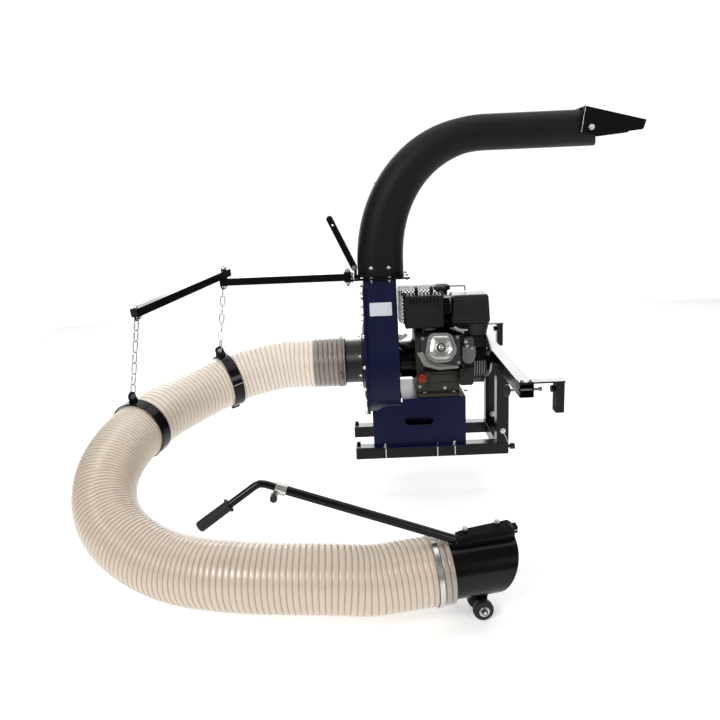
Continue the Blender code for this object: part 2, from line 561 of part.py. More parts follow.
def section(centre, along, half_size, corner, wall, slant=0.0):
    """A rounded square ring of 24 points across the direction, which lies in the XZ plane."""
    side, up = frame_of(along)
    if abs(Vector(along).normalized().z) > 0.999:
        side, up = Vector((0, -1, 0)), Vector((-1, 0, 0))
    r = max(corner - wall, 0.001)
    flat = half_size - corner
    ring = []
    for q in range(4):
        a0 = 90 * q + 7.5
        cx, cy = ((1, 1), (-1, 1), (-1, -1), (1, -1))[q]
        for a in np.linspace(a0, a0 + 75, 6):
            u = cx * flat + r * math.cos(math.radians(a))
            v = cy * flat + r * math.sin(math.radians(a))
            ring.append(Vector(centre) + u * side + v * up - Vector(along).normalized() * slant * v)
    return ring


def elbow_rings(wall):
    rings = []
    bend_x = ELBOW_X + 0.440
    rise = ELBOW_AXIS_Z - ELBOW_START
    stations = [(Vector((ELBOW_X, 0, CHUTE_FOOT + FOOT_HIGH)), Vector((0, 0, 1)), 0.0)]
    for a in (7.5 * i for i in range(13)):
        t = min(math.radians(a), 1.5707)
        at = Vector((bend_x - 0.440 * math.cos(t) ** BEND_FULL, 0, ELBOW_START + rise * math.sin(t) ** BEND_FULL))
        stations.append((at, Vector((0.440 * math.sin(t), 0, rise * math.cos(t))), a / 90))
    stations.append((Vector((ELBOW_MOUTH - ELBOW_STRAIGHT, 0, ELBOW_AXIS_Z)), Vector((1, 0, 0)), 1.0))
    for at, along, t in stations:
        size = ELBOW_BASE + (ELBOW_R - ELBOW_BASE) * min(1.0, 1.15 * t) ** 1.3
        corner = size * (0.78 + 0.22 * min(1.0, 1.6 * t))
        rings.append(section(at, along, size, corner, wall))
    last = Vector((ELBOW_MOUTH, 0, ELBOW_AXIS_Z))
    rings.append(section(last, Vector((1, 0, 0)), ELBOW_R, ELBOW_R, wall, 0.40))
    return rings


outer, inner = elbow_rings(0.0), elbow_rings(ELBOW_WALL)
foot_dir = Vector((0, 0, 1))
foot_rings = [section((CHUTE_X, 0, z), foot_dir, FOOT_R, FOOT_R, 0.0) for z in (CHUTE_FOOT, CHUTE_FOOT + FOOT_HIGH)]
throat = [p - Vector((0, 0, FOOT_HIGH)) for p in inner[0]]
solid("chute_elbow", *outward(*loft(foot_rings + outer + inner[::-1] + [throat], closed=True)),
      black_plastic, chute_axis, True)

# Turning lever: two flat bars bolted to the elbow's foot
bar_low = Vector((-0.2395, 0, CHUTE_FOOT + 0.0347))
bar_high = Vector((-0.332, 0, CHUTE_FOOT + 0.2367))
lean = (bar_high - bar_low).normalized()
cross = Vector((lean.z, 0, -lean.x))
bar_half = 0.0125
bar = []
for centre, start in ((bar_high, 0), (bar_low, 180)):
    for a in np.linspace(start, start + 180, 7):
        p = centre + bar_half * (math.cos(math.radians(a)) * cross + math.sin(math.radians(a)) * lean)
        bar.append((p.x, p.z))
chute_lever = prism("chute_lever", bar, -0.0215, -0.0175, "Y", black_coat, chute_axis)
twin = prism("lever_twin", bar, 0.0175, 0.0215, "Y", black_coat, chute_axis)
eye = bar_high - lean * 0.028
lug = box("lever_lug", (-0.2405, -0.0212, CHUTE_FOOT + FOOT_HIGH + GAP), (-0.2290, 0.0212, CHUTE_FOOT + 0.0287), black_coat,
          0.0, chute_axis)
join(chute_lever, twin, lug)
cut(chute_lever, disc("lever_eye", (eye.x, -0.05, eye.z), (0, 1, 0), ((0.0, 0.005), (0.1, 0.005)), black_coat, 10,
                      chute_axis))

# Deflector hood: folded sheet over the mouth, tilting on two side bolts
hood_axis = (HOOD_PIVOT[0], 0.0, HOOD_PIVOT[1])
hood_line = [(HOOD_PIVOT[0] + u, HOOD_PIVOT[1] + v) for u, v in (
    (-0.027, 0.080), (-0.037, 0.064), (-0.045, -0.012), (0.019, -0.032), (0.175, -0.0155), (0.198, -0.009),
    (0.213, 0.003), (0.217, 0.020))]
hood = prism("deflector_hood", hood_line, -HOOD_HALF, HOOD_HALF, "Y", black_coat, hood_axis)
hood_sheet = 0.003
hood_inside = [(HOOD_PIVOT[0] + u, HOOD_PIVOT[1] + v) for u, v in (
    (-0.065, 0.0865), (-0.065, -0.100), (0.295, -0.100), (0.295, -0.002))]
cut(hood, prism("hood_inside", hood_inside, -HOOD_HALF + hood_sheet, HOOD_HALF - hood_sheet, "Y", black_coat,
                hood_axis))
for sign in (-1, 1):
    join(hood, disc(f"hood_boss_{sign}", (HOOD_PIVOT[0], sign * (ELBOW_R - 0.0001), HOOD_PIVOT[1]), (0, sign, 0),
                    ((0.0, 0.010), (0.0085, 0.010)), black_coat, 12, hood_axis))

# Boom: bracket on the duct flange, inner arm, outer arm with a flat pivot block on top of it
ARM_HALF = ARM / 2
BOLT_R = 0.005
EYE_R = 0.005
web_x = (-0.2515, -0.2463)
bracket = box("boom_bracket", (web_x[0], PIVOT.y - 0.0315, PIVOT.z - 0.0203), (web_x[1], PIVOT.y + 0.0315, PIVOT.z + 0.0203))
for i, z in enumerate((PIVOT.z - ARM_HALF - GAP - 0.005, PIVOT.z + ARM_HALF + GAP)):
    tab_line = arc(PIVOT[:2], 0.016, 90, 270, 7) + [(web_x[1] - 0.001, PIVOT.y - 0.016), (web_x[1] - 0.001, PIVOT.y + 0.016)]
    join(bracket, prism(f"bracket_tab_{i}", tab_line, z, z + 0.005, "Z"))
join(bracket, disc("pivot_bolt", PIVOT, (0, 0, 1), (
    (-0.030, BOLT_R), (-0.0275, 0.009), (-0.0205, 0.009), (-0.0205, BOLT_R), (0.0205, BOLT_R), (0.0205, 0.009),
    (0.028, 0.009), (0.028, BOLT_R), (0.033, BOLT_R)), zinc_plate, 12))


def eye_plate(name, at, way, top):
    """A small plate with a hole, hanging below `top`, for the first chain link; way is its long direction."""
    across = Vector((-way.y, way.x, 0)).normalized()
    ring = [at + way * u + Vector((0, 0, v)) for u, v in (
        (-0.011, top - at.z), (-0.011, 0.0), (-0.006, -0.009), (0.006, -0.009), (0.011, 0.0), (0.011, top - at.z))]
    plate_body = solid(name, *outward(*loft([[p + across * t for p in ring] for t in (-0.002, 0.002)])), black_coat)
    hole_tool = disc(f"{name}_hole", at - across * 0.01, across, ((0.0, EYE_R), (0.02, EYE_R)), black_coat, 12)
    return plate_body, hole_tool


way_1 = Vector((JOINT.x - PIVOT.x, JOINT.y - PIVOT.y, 0)).normalized()
turn_1 = math.degrees(math.atan2(way_1.y, way_1.x))
tip_1 = JOINT + way_1 * 0.018
arm_line = arc(PIVOT[:2], ARM_HALF, turn_1 + 90, turn_1 + 270, 9)
arm_line += [tuple((tip_1 + Vector((-way_1.y, way_1.x, 0)) * ARM_HALF * k)[:2]) for k in (-1, 1)]
arm_inner = prism("boom_arm_inner", arm_line, PIVOT.z - ARM_HALF, PIVOT.z + ARM_HALF, "Z", black_coat, PIVOT)
cut(arm_inner, disc("pivot_hole", PIVOT, (0, 0, 1), ((-0.02, BOLT_R + 0.0006), (0.02, BOLT_R + 0.0006)), black_coat, 12))
block_top = JOINT.z + 0.0515
join(arm_inner, disc("joint_bolt", (JOINT.x, JOINT.y, 0), (0, 0, 1), (
    (PIVOT.z - 0.010, BOLT_R), (block_top + GAP, BOLT_R), (block_top + GAP, 0.009), (block_top + 0.007, 0.009),
    (block_top + 0.007, BOLT_R), (block_top + 0.010, BOLT_R)), zinc_plate, 12))
eye_1 = Vector((tip_1.x - way_1.x * 0.010, tip_1.y, PIVOT.z - ARM_HALF - 0.006))
plate_1, hole_1 = eye_plate("inner_eye", eye_1, way_1, PIVOT.z - ARM_HALF + 0.001)
join(arm_inner, plate_1)
cut(arm_inner, hole_1)

joint_axis = (JOINT.x, JOINT.y, PIVOT.z)
over = Vector((JOINT.x, JOINT.y, JOINT.z + 0.0335))
way_2 = (ARM_END - over).normalized()
flat_2 = Vector((way_2.x, way_2.y, 0)).normalized()
ends = [circle(p, way_2, ARM_HALF * math.sqrt(2), 4) for p in (over - way_2 * 0.028, ARM_END + way_2 * 0.012)]
arm_outer = solid("boom_arm_outer", *outward(*loft(ends)), black_coat, joint_axis)
join(arm_outer, disc("joint_block", (JOINT.x, JOINT.y, 0), (0, 0, 1), (
    (JOINT.z + ARM_HALF + GAP, 0.0125), (block_top, 0.0125)), black_coat, 16, joint_axis))
cut(arm_outer, disc("joint_hole", (JOINT.x, JOINT.y, 0), (0, 0, 1), (
    (PIVOT.z, BOLT_R + 0.0006), (PIVOT.z + 0.1, BOLT_R + 0.0006)), black_coat, 12, joint_axis))
eye_2 = ARM_END + Vector((0, 0, -ARM_HALF - 0.007))
plate_2, hole_2 = eye_plate("outer_eye", eye_2, flat_2, ARM_END.z - ARM_HALF + 0.004)
join(arm_outer, plate_2)
cut(arm_outer, hole_2)

# Suction hose: helix-ribbed tube, split into three stretches that meet under the bands
nozzle_way = Vector((math.cos(NOZZLE_YAW) * math.cos(NOZZLE_PITCH), math.sin(NOZZLE_YAW) * math.cos(NOZZLE_PITCH),
                     math.sin(NOZZLE_PITCH)))


def curve_through(points, first, last, step=0.002):
    """A natural curve through the points by chord length, with the given end directions, sampled evenly."""
    p = np.array([tuple(q) for q in points])
    t = np.concatenate([[0.0], np.cumsum(np.linalg.norm(np.diff(p, axis=0), axis=1))])
    n = len(p)
    h = np.diff(t)
    rows, right = np.zeros((n, n)), np.zeros((n, 3))
    rows[0, 0], right[0] = 1.0, np.array(first)
    rows[-1, -1], right[-1] = 1.0, np.array(last)
    for i in range(1, n - 1):
        rows[i, i - 1], rows[i, i], rows[i, i + 1] = h[i], 2 * (h[i - 1] + h[i]), h[i - 1]
        right[i] = 3 * (h[i - 1] / h[i] * (p[i + 1] - p[i]) + h[i] / h[i - 1] * (p[i] - p[i - 1]))
    slope = np.linalg.solve(rows, right)
    line = []
    for i in range(n - 1):
        for u in np.linspace(0, 1, max(2, int(h[i] / step)), endpoint=False):
            line.append((2 * u ** 3 - 3 * u ** 2 + 1) * p[i] + (u ** 3 - 2 * u ** 2 + u) * h[i] * slope[i]
                        + (3 * u ** 2 - 2 * u ** 3) * p[i + 1] + (u ** 3 - u ** 2) * h[i] * slope[i + 1])
    return np.array(line + [p[-1]])


straight_in = HOSE_START + Vector((-HOSE_STRAIGHT, 0, 0))
straight_out = HOSE_END - nozzle_way * HOSE_STRAIGHT
bends = curve_through([straight_in, *HOSE_BENDS, straight_out], (-1, 0, 0), tuple(nozzle_way))
route = np.vstack([np.array(HOSE_START), bends, np.array(HOSE_END)])
run = np.concatenate([[0.0], np.cumsum(np.linalg.norm(np.diff(route, axis=0), axis=1))])


def on_hose(s):
    """Point and direction of the hose's centre line at the distance s from the inlet."""
    ahead, back = min(s + 0.002, run[-1]), max(s - 0.002, 0.0)
    at, a, b = (np.array([np.interp(x, run, route[:, k]) for k in range(3)]) for x in (s, ahead, back))
    return Vector(at), Vector(a - b).normalized()


def nearest_run(point):
    return run[np.argmin(np.linalg.norm(route - np.array(point), axis=1))]


def hose_stretch(name, start, stop, pivot):
    """Ribs outside, plain bore inside, one closed wall."""
    count = 2 * round((stop - start) / RIB_PITCH)
    outside, inside = [], []
    for i in range(count + 1):
        at, along = on_hose(start + (stop - start) * i / count)
        outside.append(circle(at, along, RIB_R if i % 2 else VALLEY_R, HOSE_SIDES))
        if i % 5 == 0 or i == count:
            inside.append(circle(at, along, BORE_R, HOSE_SIDES))
    return solid(name, *outward(*loft(outside + inside[::-1], closed=True)), hose_plastic, pivot, True)


band_run_1, band_run_2 = nearest_run(BAND_1), nearest_run(BAND_2)
hose_stretch("hose_inlet_stretch", 0.0, band_run_1 - 0.0004, None)
hose_stretch("hose_mid_stretch", band_run_1 + 0.0004, band_run_2 - 0.0004, PIVOT)
hose_stretch("hose_main_stretch", band_run_2 + 0.0004, run[-1], joint_axis)


def hose_band(name, s, pivot):
    """Split steel ring with a triangular ear over it and a bolted lug under it, leaning a little from the hose's own
    way towards the level; gives the body and the middle of the ear's hole."""
    at, slope = on_hose(s)
    level = Vector((slope.x, slope.y, 0)).normalized()
    along = slope.lerp(level, BAND_LEAN / max(slope.angle(level), BAND_LEAN)).normalized()
    side, up = frame_of(along)
    half_wide = BAND_WIDTH / 2
    ring = turned(name, at, along, ((-half_wide, BAND_IN), (-half_wide, BAND_OUT), (half_wide, BAND_OUT),
                                    (half_wide, BAND_IN)), black_coat, 28, pivot)
    hole = at + up * (BAND_OUT + 0.0245)
    outline = [at + along * u + up * v for u, v in (
        (-half_wide + 0.002, BAND_OUT - 0.002), (half_wide - 0.002, BAND_OUT - 0.002), (0.007, BAND_OUT + 0.0275),
        (0.004, BAND_OUT + 0.032), (-0.004, BAND_OUT + 0.032), (-0.007, BAND_OUT + 0.0275))]
    ear = solid(f"{name}_ear", *outward(*loft([[p + side * t for p in outline] for t in (-0.0025, 0.0025)])),
                black_coat, pivot)
    lug_line = [at + along * u - up * v for u, v in (
        (-0.018, BAND_OUT - 0.002), (0.018, BAND_OUT - 0.002), (0.018, BAND_OUT + 0.014), (-0.018, BAND_OUT + 0.014))]
    lug = solid(f"{name}_lug", *outward(*loft([[p + side * t for p in lug_line] for t in (-0.004, 0.004)])),
                black_coat, pivot)
    join(ring, ear, lug)
    eye_tool = disc(f"{name}_eye", hole - side * 0.01, side, ((0.0, EYE_R), (0.02, EYE_R)), black_coat, 12, pivot)
    cut(ring, eye_tool)
    return ring, hole, along


band_1, hole_low_1, along_1 = hose_band("inner_hose_band", band_run_1, PIVOT)
band_2, hole_low_2, along_2 = hose_band("outer_hose_band", band_run_2, joint_axis)


# Chains: welded steel links, each turned a quarter against the last
WIRE_R, LINK_PITCH, LINK_WIDE, BITE = 0.0025, 0.038, 0.018, 0.0004


def link(name, top, bottom, across, pivot):
    """One link, a wire bent to a long loop whose two crowns have their middles at top and bottom."""
    down = (bottom - top).normalized()
    r = LINK_WIDE / 2
    points = []
    for middle, way in ((bottom - down * r, 1), (top + down * r, -1)):
        for a in np.linspace(0, 180, 5):
            c, k = math.cos(math.radians(a)), math.sin(math.radians(a))
            points.append(middle + across * r * c * way + down * r * k * way)
    normal = across.cross(down)
    rings = []
    for i, p in enumerate(points):
        way = (points[(i + 1) % len(points)] - points[i - 1]).normalized()
        out = way.cross(normal)
        rings.append([p + WIRE_R * (math.cos(a) * out + math.sin(a) * normal)
                      for a in (2 * math.pi * j / 6 for j in range(6))])
    return solid(name, *outward(*loft(rings, closed=True)), zinc_plate, pivot, True)


def chain(name, high, low, first_across, last_across, pivot):
    """Links from the eye's hole to the ear's; neighbours bite a little, so that the chain is one body."""
    down = (low - high).normalized()
    slack = EYE_R - WIRE_R - 0.0021
    start, stop = high + down * slack, low - down * slack
    step_back = 2 * WIRE_R - BITE
    total = (stop - start).length
    count = round(total / LINK_PITCH / 2 - 0.5) * 2 + 1
    long = (total + (count - 1) * step_back) / count
    if first_across.dot(last_across) < 0:
        last_across = -last_across
    first = None
    for i in range(count):
        across = first_across.lerp(last_across, i / (count - 1))
        across = (across - down * across.dot(down)).normalized()
        if i % 2:
            across = across.cross(down).normalized()
        top = start + down * (i * (long - step_back))
        piece = link(f"{name}_link_{i}" if i else name, top, top + down * long, across, pivot)
        first = join(first, piece) if i else piece
    return first


across_1 = Vector((-way_1.y, way_1.x, 0)).normalized()
across_2 = Vector((-flat_2.y, flat_2.x, 0)).normalized()
chain("inner_chain", eye_1, hole_low_1, across_1, frame_of(along_1)[0], PIVOT)
chain("outer_chain", eye_2, hole_low_2, across_2, frame_of(along_2)[0], joint_axis)


# Worm-drive clips over the hose, on the inlet collar and on the nozzle
def hose_clip(name, at, along, screw_turn, pivot):
    side, up = frame_of(along)
    clip = turned(name, at, along, ((-0.007, CLIP_R - 0.0013), (-0.007, CLIP_R + 0.0004), (0.007, CLIP_R + 0.0004),
                                    (0.007, CLIP_R - 0.0013)), zinc_plate, 32, pivot)
    a = math.radians(screw_turn)
    out, round_way = side * math.cos(a) + up * math.sin(a), up * math.cos(a) - side * math.sin(a)
    screw = disc(f"{name}_screw", at + out * (CLIP_R + 0.0045) - round_way * 0.016, round_way, (
        (0.0, 0.0055), (0.026, 0.0055), (0.026, 0.0065), (0.031, 0.0065)), zinc_plate, 10, pivot)
    return join(clip, screw)


hose_clip("inlet_hose_clip", Vector((-0.3125, 0, CRANK_Z)), Vector((-1, 0, 0)), 200, None)
hose_clip("nozzle_hose_clip", HOSE_END - nozzle_way * 0.045, nozzle_way, 150, joint_axis)

# Nozzle: steel pipe into the hose, mouth cut on a curve, handle channel welded on top
NOZZLE_R, NOZZLE_WALL = 0.0933, 0.003
n_side, n_up = frame_of(nozzle_way)


def at_nozzle(s, h, w=0.0):
    """Point at s along the nozzle from the hose's end, h above its axis and w to its far side."""
    return HOSE_END + nozzle_way * s + n_up * h - n_side * w


def at_channel(s, h, w=0.0):
    """The same, in the frame of the handle channel, which stands a little towards the near side."""
    out = n_up * math.cos(CHANNEL_TURN) + n_side * math.sin(CHANNEL_TURN)
    near = n_side * math.cos(CHANNEL_TURN) - n_up * math.sin(CHANNEL_TURN)
    return HOSE_END + nozzle_way * s + out * h - near * w


def mouth_ring(radius):
    out = []
    for p in circle(HOSE_END, nozzle_way, radius, 32):
        drop = (NOZZLE_R - (p - HOSE_END).dot(n_up)) / (2 * NOZZLE_R)
        out.append(p + nozzle_way * (NOZZLE_TOP - (NOZZLE_TOP - NOZZLE_LOW) * max(drop, 0.0) ** 1.6))
    return out


pipe_back = HOSE_END - nozzle_way * 0.150
nozzle_rings = [circle(pipe_back, nozzle_way, NOZZLE_R, 32), circle(HOSE_END, nozzle_way, NOZZLE_R, 32),
                mouth_ring(NOZZLE_R)]
nozzle_in = [mouth_ring(NOZZLE_R - NOZZLE_WALL), circle(pipe_back, nozzle_way, NOZZLE_R - NOZZLE_WALL, 32)]
nozzle = solid("nozzle", *outward(*loft(nozzle_rings + nozzle_in, closed=True)), black_coat, joint_axis, True)
channel_line = [(0.060, 0.1225), (0.186, 0.1315), (0.199, 0.120), (0.199, 0.089)]
near_line = [(0.004, 0.089), (0.004, 0.102), (0.022, 0.117)] + channel_line
far_line = [(0.020, 0.089), (0.020, 0.112), (0.028, 0.118)] + channel_line
for side_name, w, line in (("near", -0.0175, near_line), ("far", 0.0145, far_line)):
    cheek = solid(f"channel_{side_name}", *outward(*loft([[at_channel(s, h, w + t) for s, h in line]
                  for t in (0.0, 0.003)])), black_coat, joint_axis)
    join(nozzle, cheek)

# Handle: lower tube bolted in the channel, split clamp with knob, cranked upper tube that slides inside
tube_h = NOZZLE_R + HANDLE_R + 0.0006
low_points = [at_channel(0.170, tube_h), at_channel(0.034, tube_h), at_channel(0.022, tube_h + 0.0025), CLAMP_AT]
handle_way = (CLAMP_AT - low_points[2]).normalized()
slide_bore = 0.0117
bore_deep = 0.330
rings = tube_along(low_points, HANDLE_R, 14)
bores = [circle(CLAMP_AT - handle_way * deep, handle_way, slide_bore, 14) for deep in (0.0, bore_deep)]
lower_tube = solid("handle_lower_tube", *outward(*loft(rings + bores)), black_coat, joint_axis, True)
for k, s in enumerate((0.052, 0.160)):
    bolt_from, bolt_to = at_channel(s, tube_h, -0.0140), at_channel(s, tube_h, 0.0140)
    join(lower_tube, disc(f"handle_bolt_{k}", bolt_from, bolt_to - bolt_from, (
        (0.0, 0.004), (0.028, 0.004)), zinc_plate, 10, joint_axis))

clamp_mid = CLAMP_AT - handle_way * 0.014
h_side, h_up = frame_of(handle_way)
clamp = turned("handle_clamp", clamp_mid, handle_way, (
    (-0.020, HANDLE_R + 0.0004), (-0.020, 0.0185), (0.013, 0.0185), (0.013, HANDLE_R + 0.0004)), cast_silver, 16,
    joint_axis)
for k, w in enumerate((-0.0075, 0.0025)):
    ear_ring = [clamp_mid + handle_way * s - h_up * v + h_side * w for s, v in (
        (-0.004, 0.0165), (0.018, 0.0165), (0.018, 0.0295), (-0.004, 0.0295))]
    join(clamp, solid(f"clamp_ear_{k}", *outward(*loft([[p + h_side * t for p in ear_ring] for t in (0.0, 0.005)])),
                      cast_silver, joint_axis))
cut(clamp, solid("clamp_split", *outward(*loft([[clamp_mid + handle_way * s - h_up * v + h_side * w for s, w in (
    (-0.03, -0.0025), (0.03, -0.0025), (0.03, 0.0025), (-0.03, 0.0025))] for v in (0.010, 0.05)])),
    cast_silver, joint_axis))
knob_mid = clamp_mid + handle_way * 0.0080 - h_up * 0.0235
cut(clamp, disc("clamp_bore", knob_mid + h_side * 0.02, -h_side, ((0.0, 0.0036), (0.05, 0.0036)), cast_silver, 10,
                joint_axis))
disc("clamp_knob", knob_mid + h_side * 0.012, -h_side, (
    (0.0, 0.003), (0.0320, 0.003), (0.0320, 0.008), (0.035, 0.0105), (0.046, 0.0105), (0.050, 0.008)), black_plastic,
    12, knob_mid)
bend = CLAMP_AT + handle_way * 0.045
grip_way = (GRIP_END - bend).normalized()
inside_end = CLAMP_AT - handle_way * (bore_deep - 0.010)
upper_points = [inside_end, bend - handle_way * 0.018, bend - handle_way * 0.006 + grip_way * 0.003,
                bend + grip_way * 0.006 - handle_way * 0.003, bend + grip_way * 0.018, GRIP_END]
solid("handle_upper_tube", *outward(*loft(tube_along(upper_points, 0.0112, 12))), black_coat, CLAMP_AT, True)
grip_start = GRIP_END - grip_way * (GRIP_LONG - 0.004)
grip = disc("grip", grip_start, grip_way, (
    (0.0, 0.0210), (0.005, 0.0210), (0.006, 0.0160), (GRIP_LONG - 0.004, 0.0165), (GRIP_LONG, 0.013)),
    soft_rubber, 16, CLAMP_AT)
cut(grip, disc("grip_bore", grip_start - grip_way * 0.01, grip_way, (
    (0.0, 0.0118), (GRIP_LONG - 0.004 + 0.0103, 0.0118)), soft_rubber, 14, CLAMP_AT))

# Nozzle wheels on a fixed axle in a bracket under the nozzle
axle_mid = at_nozzle(WHEEL_BACK, 0.0)
axis_z = axle_mid.z
axle_mid.z = WHEEL_Z
level = [axle_mid + nozzle_way * s + Vector((0, 0, axis_z + h - WHEEL_Z)) for s, h in (
    (-0.020, -NOZZLE_R - 0.0004), (0.024, -NOZZLE_R - 0.0004), (0.012, -0.136), (0.0, -0.141), (-0.012, -0.136))]
wheel_bracket = solid("wheel_bracket", *outward(*loft([[p + n_side * t for p in level] for t in (-0.014, 0.014)])),
                      black_coat, joint_axis)
axle = disc("wheel_axle", axle_mid - n_side * 0.053, n_side, (
    (0.0, 0.009), (0.0045, 0.009), (0.0045, 0.005), (0.1015, 0.005), (0.1015, 0.009), (0.106, 0.009)), zinc_plate,
    12, joint_axis)
join(wheel_bracket, axle)
for name, sign in (("near", 1), ("far", -1)):
    hub = axle_mid + n_side * sign * 0.0315
    turned(f"{name}_wheel", hub, n_side, (
        (-0.013, 0.0053), (-0.013, 0.024), (-0.011, WHEEL_R - 0.0015), (-0.006, WHEEL_R), (0.006, WHEEL_R),
        (0.011, WHEEL_R - 0.0015), (0.013, 0.024), (0.013, 0.0053)), soft_rubber, 24, hub)
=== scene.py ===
import math
from functools import partialmethod

import bpy
import numpy as np
from mathutils import Matrix, Vector
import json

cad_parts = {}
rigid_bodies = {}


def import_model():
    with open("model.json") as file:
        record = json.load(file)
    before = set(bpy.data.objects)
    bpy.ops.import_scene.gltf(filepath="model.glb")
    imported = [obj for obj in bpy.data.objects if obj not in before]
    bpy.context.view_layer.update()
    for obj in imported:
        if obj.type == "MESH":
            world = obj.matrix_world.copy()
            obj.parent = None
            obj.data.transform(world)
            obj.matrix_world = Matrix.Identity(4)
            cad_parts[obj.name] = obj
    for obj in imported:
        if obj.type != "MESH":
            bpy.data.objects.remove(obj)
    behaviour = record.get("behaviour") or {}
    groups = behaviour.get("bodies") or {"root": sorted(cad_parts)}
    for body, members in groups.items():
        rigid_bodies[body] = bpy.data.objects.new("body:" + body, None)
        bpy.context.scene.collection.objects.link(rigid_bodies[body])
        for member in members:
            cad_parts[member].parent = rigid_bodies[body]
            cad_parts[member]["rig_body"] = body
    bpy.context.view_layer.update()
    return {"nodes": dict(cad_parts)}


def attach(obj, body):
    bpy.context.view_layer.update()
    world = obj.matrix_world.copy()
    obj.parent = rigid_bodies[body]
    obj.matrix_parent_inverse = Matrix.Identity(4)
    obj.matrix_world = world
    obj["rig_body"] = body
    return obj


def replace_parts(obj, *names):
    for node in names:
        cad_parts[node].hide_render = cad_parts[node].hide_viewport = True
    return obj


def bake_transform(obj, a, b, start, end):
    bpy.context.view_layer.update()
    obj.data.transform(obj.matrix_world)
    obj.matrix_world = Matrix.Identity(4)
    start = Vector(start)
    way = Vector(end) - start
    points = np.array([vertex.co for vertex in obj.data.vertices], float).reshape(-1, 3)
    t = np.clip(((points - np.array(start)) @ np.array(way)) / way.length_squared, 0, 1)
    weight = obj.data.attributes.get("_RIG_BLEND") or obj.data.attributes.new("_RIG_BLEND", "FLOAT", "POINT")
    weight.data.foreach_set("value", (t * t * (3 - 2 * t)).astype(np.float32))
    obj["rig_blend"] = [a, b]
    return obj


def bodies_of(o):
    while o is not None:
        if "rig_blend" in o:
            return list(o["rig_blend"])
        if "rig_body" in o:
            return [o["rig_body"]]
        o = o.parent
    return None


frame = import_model()

# Frame of square tube
# Two rails, a cross tie, two posts and the crossbar that lies against the tailgate, all 50 mm square steel
# tube. They are welded and powder coated gloss black, so their edges are soft and catch a line of light.


class Wire:
    """One output of a node; arithmetic on it adds the Math nodes that work the sum out."""

    def __init__(self, finish, socket):
        self.finish, self.socket = finish, socket

    def joined(self, other, operation, swapped=False):
        return self.finish.math(operation, *((other, self) if swapped else (self, other)))

    __add__ = __radd__ = partialmethod(joined, operation="ADD")
    __sub__ = partialmethod(joined, operation="SUBTRACT")
    __rsub__ = partialmethod(joined, operation="SUBTRACT", swapped=True)
    __mul__ = partialmethod(joined, operation="MULTIPLY")
    __lt__ = partialmethod(joined, operation="LESS_THAN")



class Finish:
    """A material: its Principled shader with plain values, and add() for any other node."""

    def __init__(self, name, colour, rough, metal=0.0, **plain):
        self.material = bpy.data.materials.new(name)
        self.material.use_nodes = True
        self.tree = self.material.node_tree
        self.shader = self.tree.nodes["Principled BSDF"]
        self.colour = (*colour, 1.0)
        plain = {"Base_Color": self.colour, "Roughness": rough, "Metallic": metal, **plain}
        for socket, value in plain.items():
            self.shader.inputs[socket.replace("_", " ")].default_value = value

    def add(self, kind, settings, values, out=0):
        """A node of this type, with its settings made first, then its sockets; gives one of its outputs."""
        node = self.tree.nodes.new(kind)
        for name, value in settings.items():
            setattr(node, name, value)
        for name, value in values.items():
            if isinstance(value, Wire):
                self.tree.links.new(value.socket, node.inputs[name])
            else:
                node.inputs[name].default_value = value
        return Wire(self, node.outputs[out])

    def math(self, operation, *values):
        return self.add("ShaderNodeMath", {"operation": operation}, dict(enumerate(values)))

    def feed(self, socket, wire):
        self.tree.links.new(wire.socket, self.shader.inputs[socket])

    def place(self):
        """The object's own coordinates."""
        return self.add("ShaderNodeTexCoord", {}, {}, 3)

    def noise(self, scale, detail=3.0, rough=0.5):
        values = {"Vector": self.place(), "Scale": scale, "Detail": detail, "Roughness": rough}
        return self.add("ShaderNodeTexNoise", {}, values)

    def mixed(self, factor, first, second):
        """Colour that goes from the first to the second with the factor."""
        return self.add("ShaderNodeMix", {"data_type": "RGBA"}, {0: factor, 6: first, 7: second}, 2)

    def worn(self, rough, cloud, swing, share, tone, grain, strength, depth):
        """The finish made less even: a soft cloud raises the roughness by up to the swing and pulls the
        colour towards the tone, and a fine grain lifts the surface by up to the depth."""
        self.feed("Roughness", rough + cloud * swing)
        self.feed("Base Color", self.mixed(cloud * share, self.colour, (*tone, 1.0)))
        values = {"Strength": strength, "Distance": depth, "Height": grain}
        self.feed("Normal", self.add("ShaderNodeBump", {}, values))
        return self.material


def powder_coat(name, colour, rough, peel, gloss):
    """Sprayed coat: fine orange peel, and a film of handling dust that dulls it in soft patches."""
    made = Finish(name, colour, rough, 0.0, Specular_IOR_Level=gloss)
    pale, dust = [min(1.0, c * 1.5 + 0.002) for c in colour], made.noise(9.0, 4.0, 0.6)
    return made.worn(rough - 0.06, dust, 0.14, 0.55, pale, made.noise(950.0, 2.0), peel, 0.0004)


black_coat = powder_coat("black_powder_coat", (0.0026, 0.0026, 0.003), 0.19, 0.05, 0.22)


def mesh_object(name, corners, faces, material):
    mesh = bpy.data.meshes.new(name)
    mesh.from_pydata(corners.tolist(), [], faces.tolist())
    made = bpy.data.objects.new(name, mesh)
    bpy.context.scene.collection.objects.link(made)
    mesh.materials.append(material)
    mesh.shade_smooth()
    return made


def rounded(made, width, sharp, harden):
    """Edges sharper than the angle are rounded, the width measured back from the edge on either side."""
    rounding = made.modifiers.new("edge", "BEVEL")
    rounding.width, rounding.segments = width, 2
    rounding.limit_method, rounding.angle_limit = "ANGLE", math.radians(sharp)
    rounding.harden_normals = harden


def body_of(node):
    """The body that the node's solid rides on."""
    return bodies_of(frame["nodes"][node])[0]


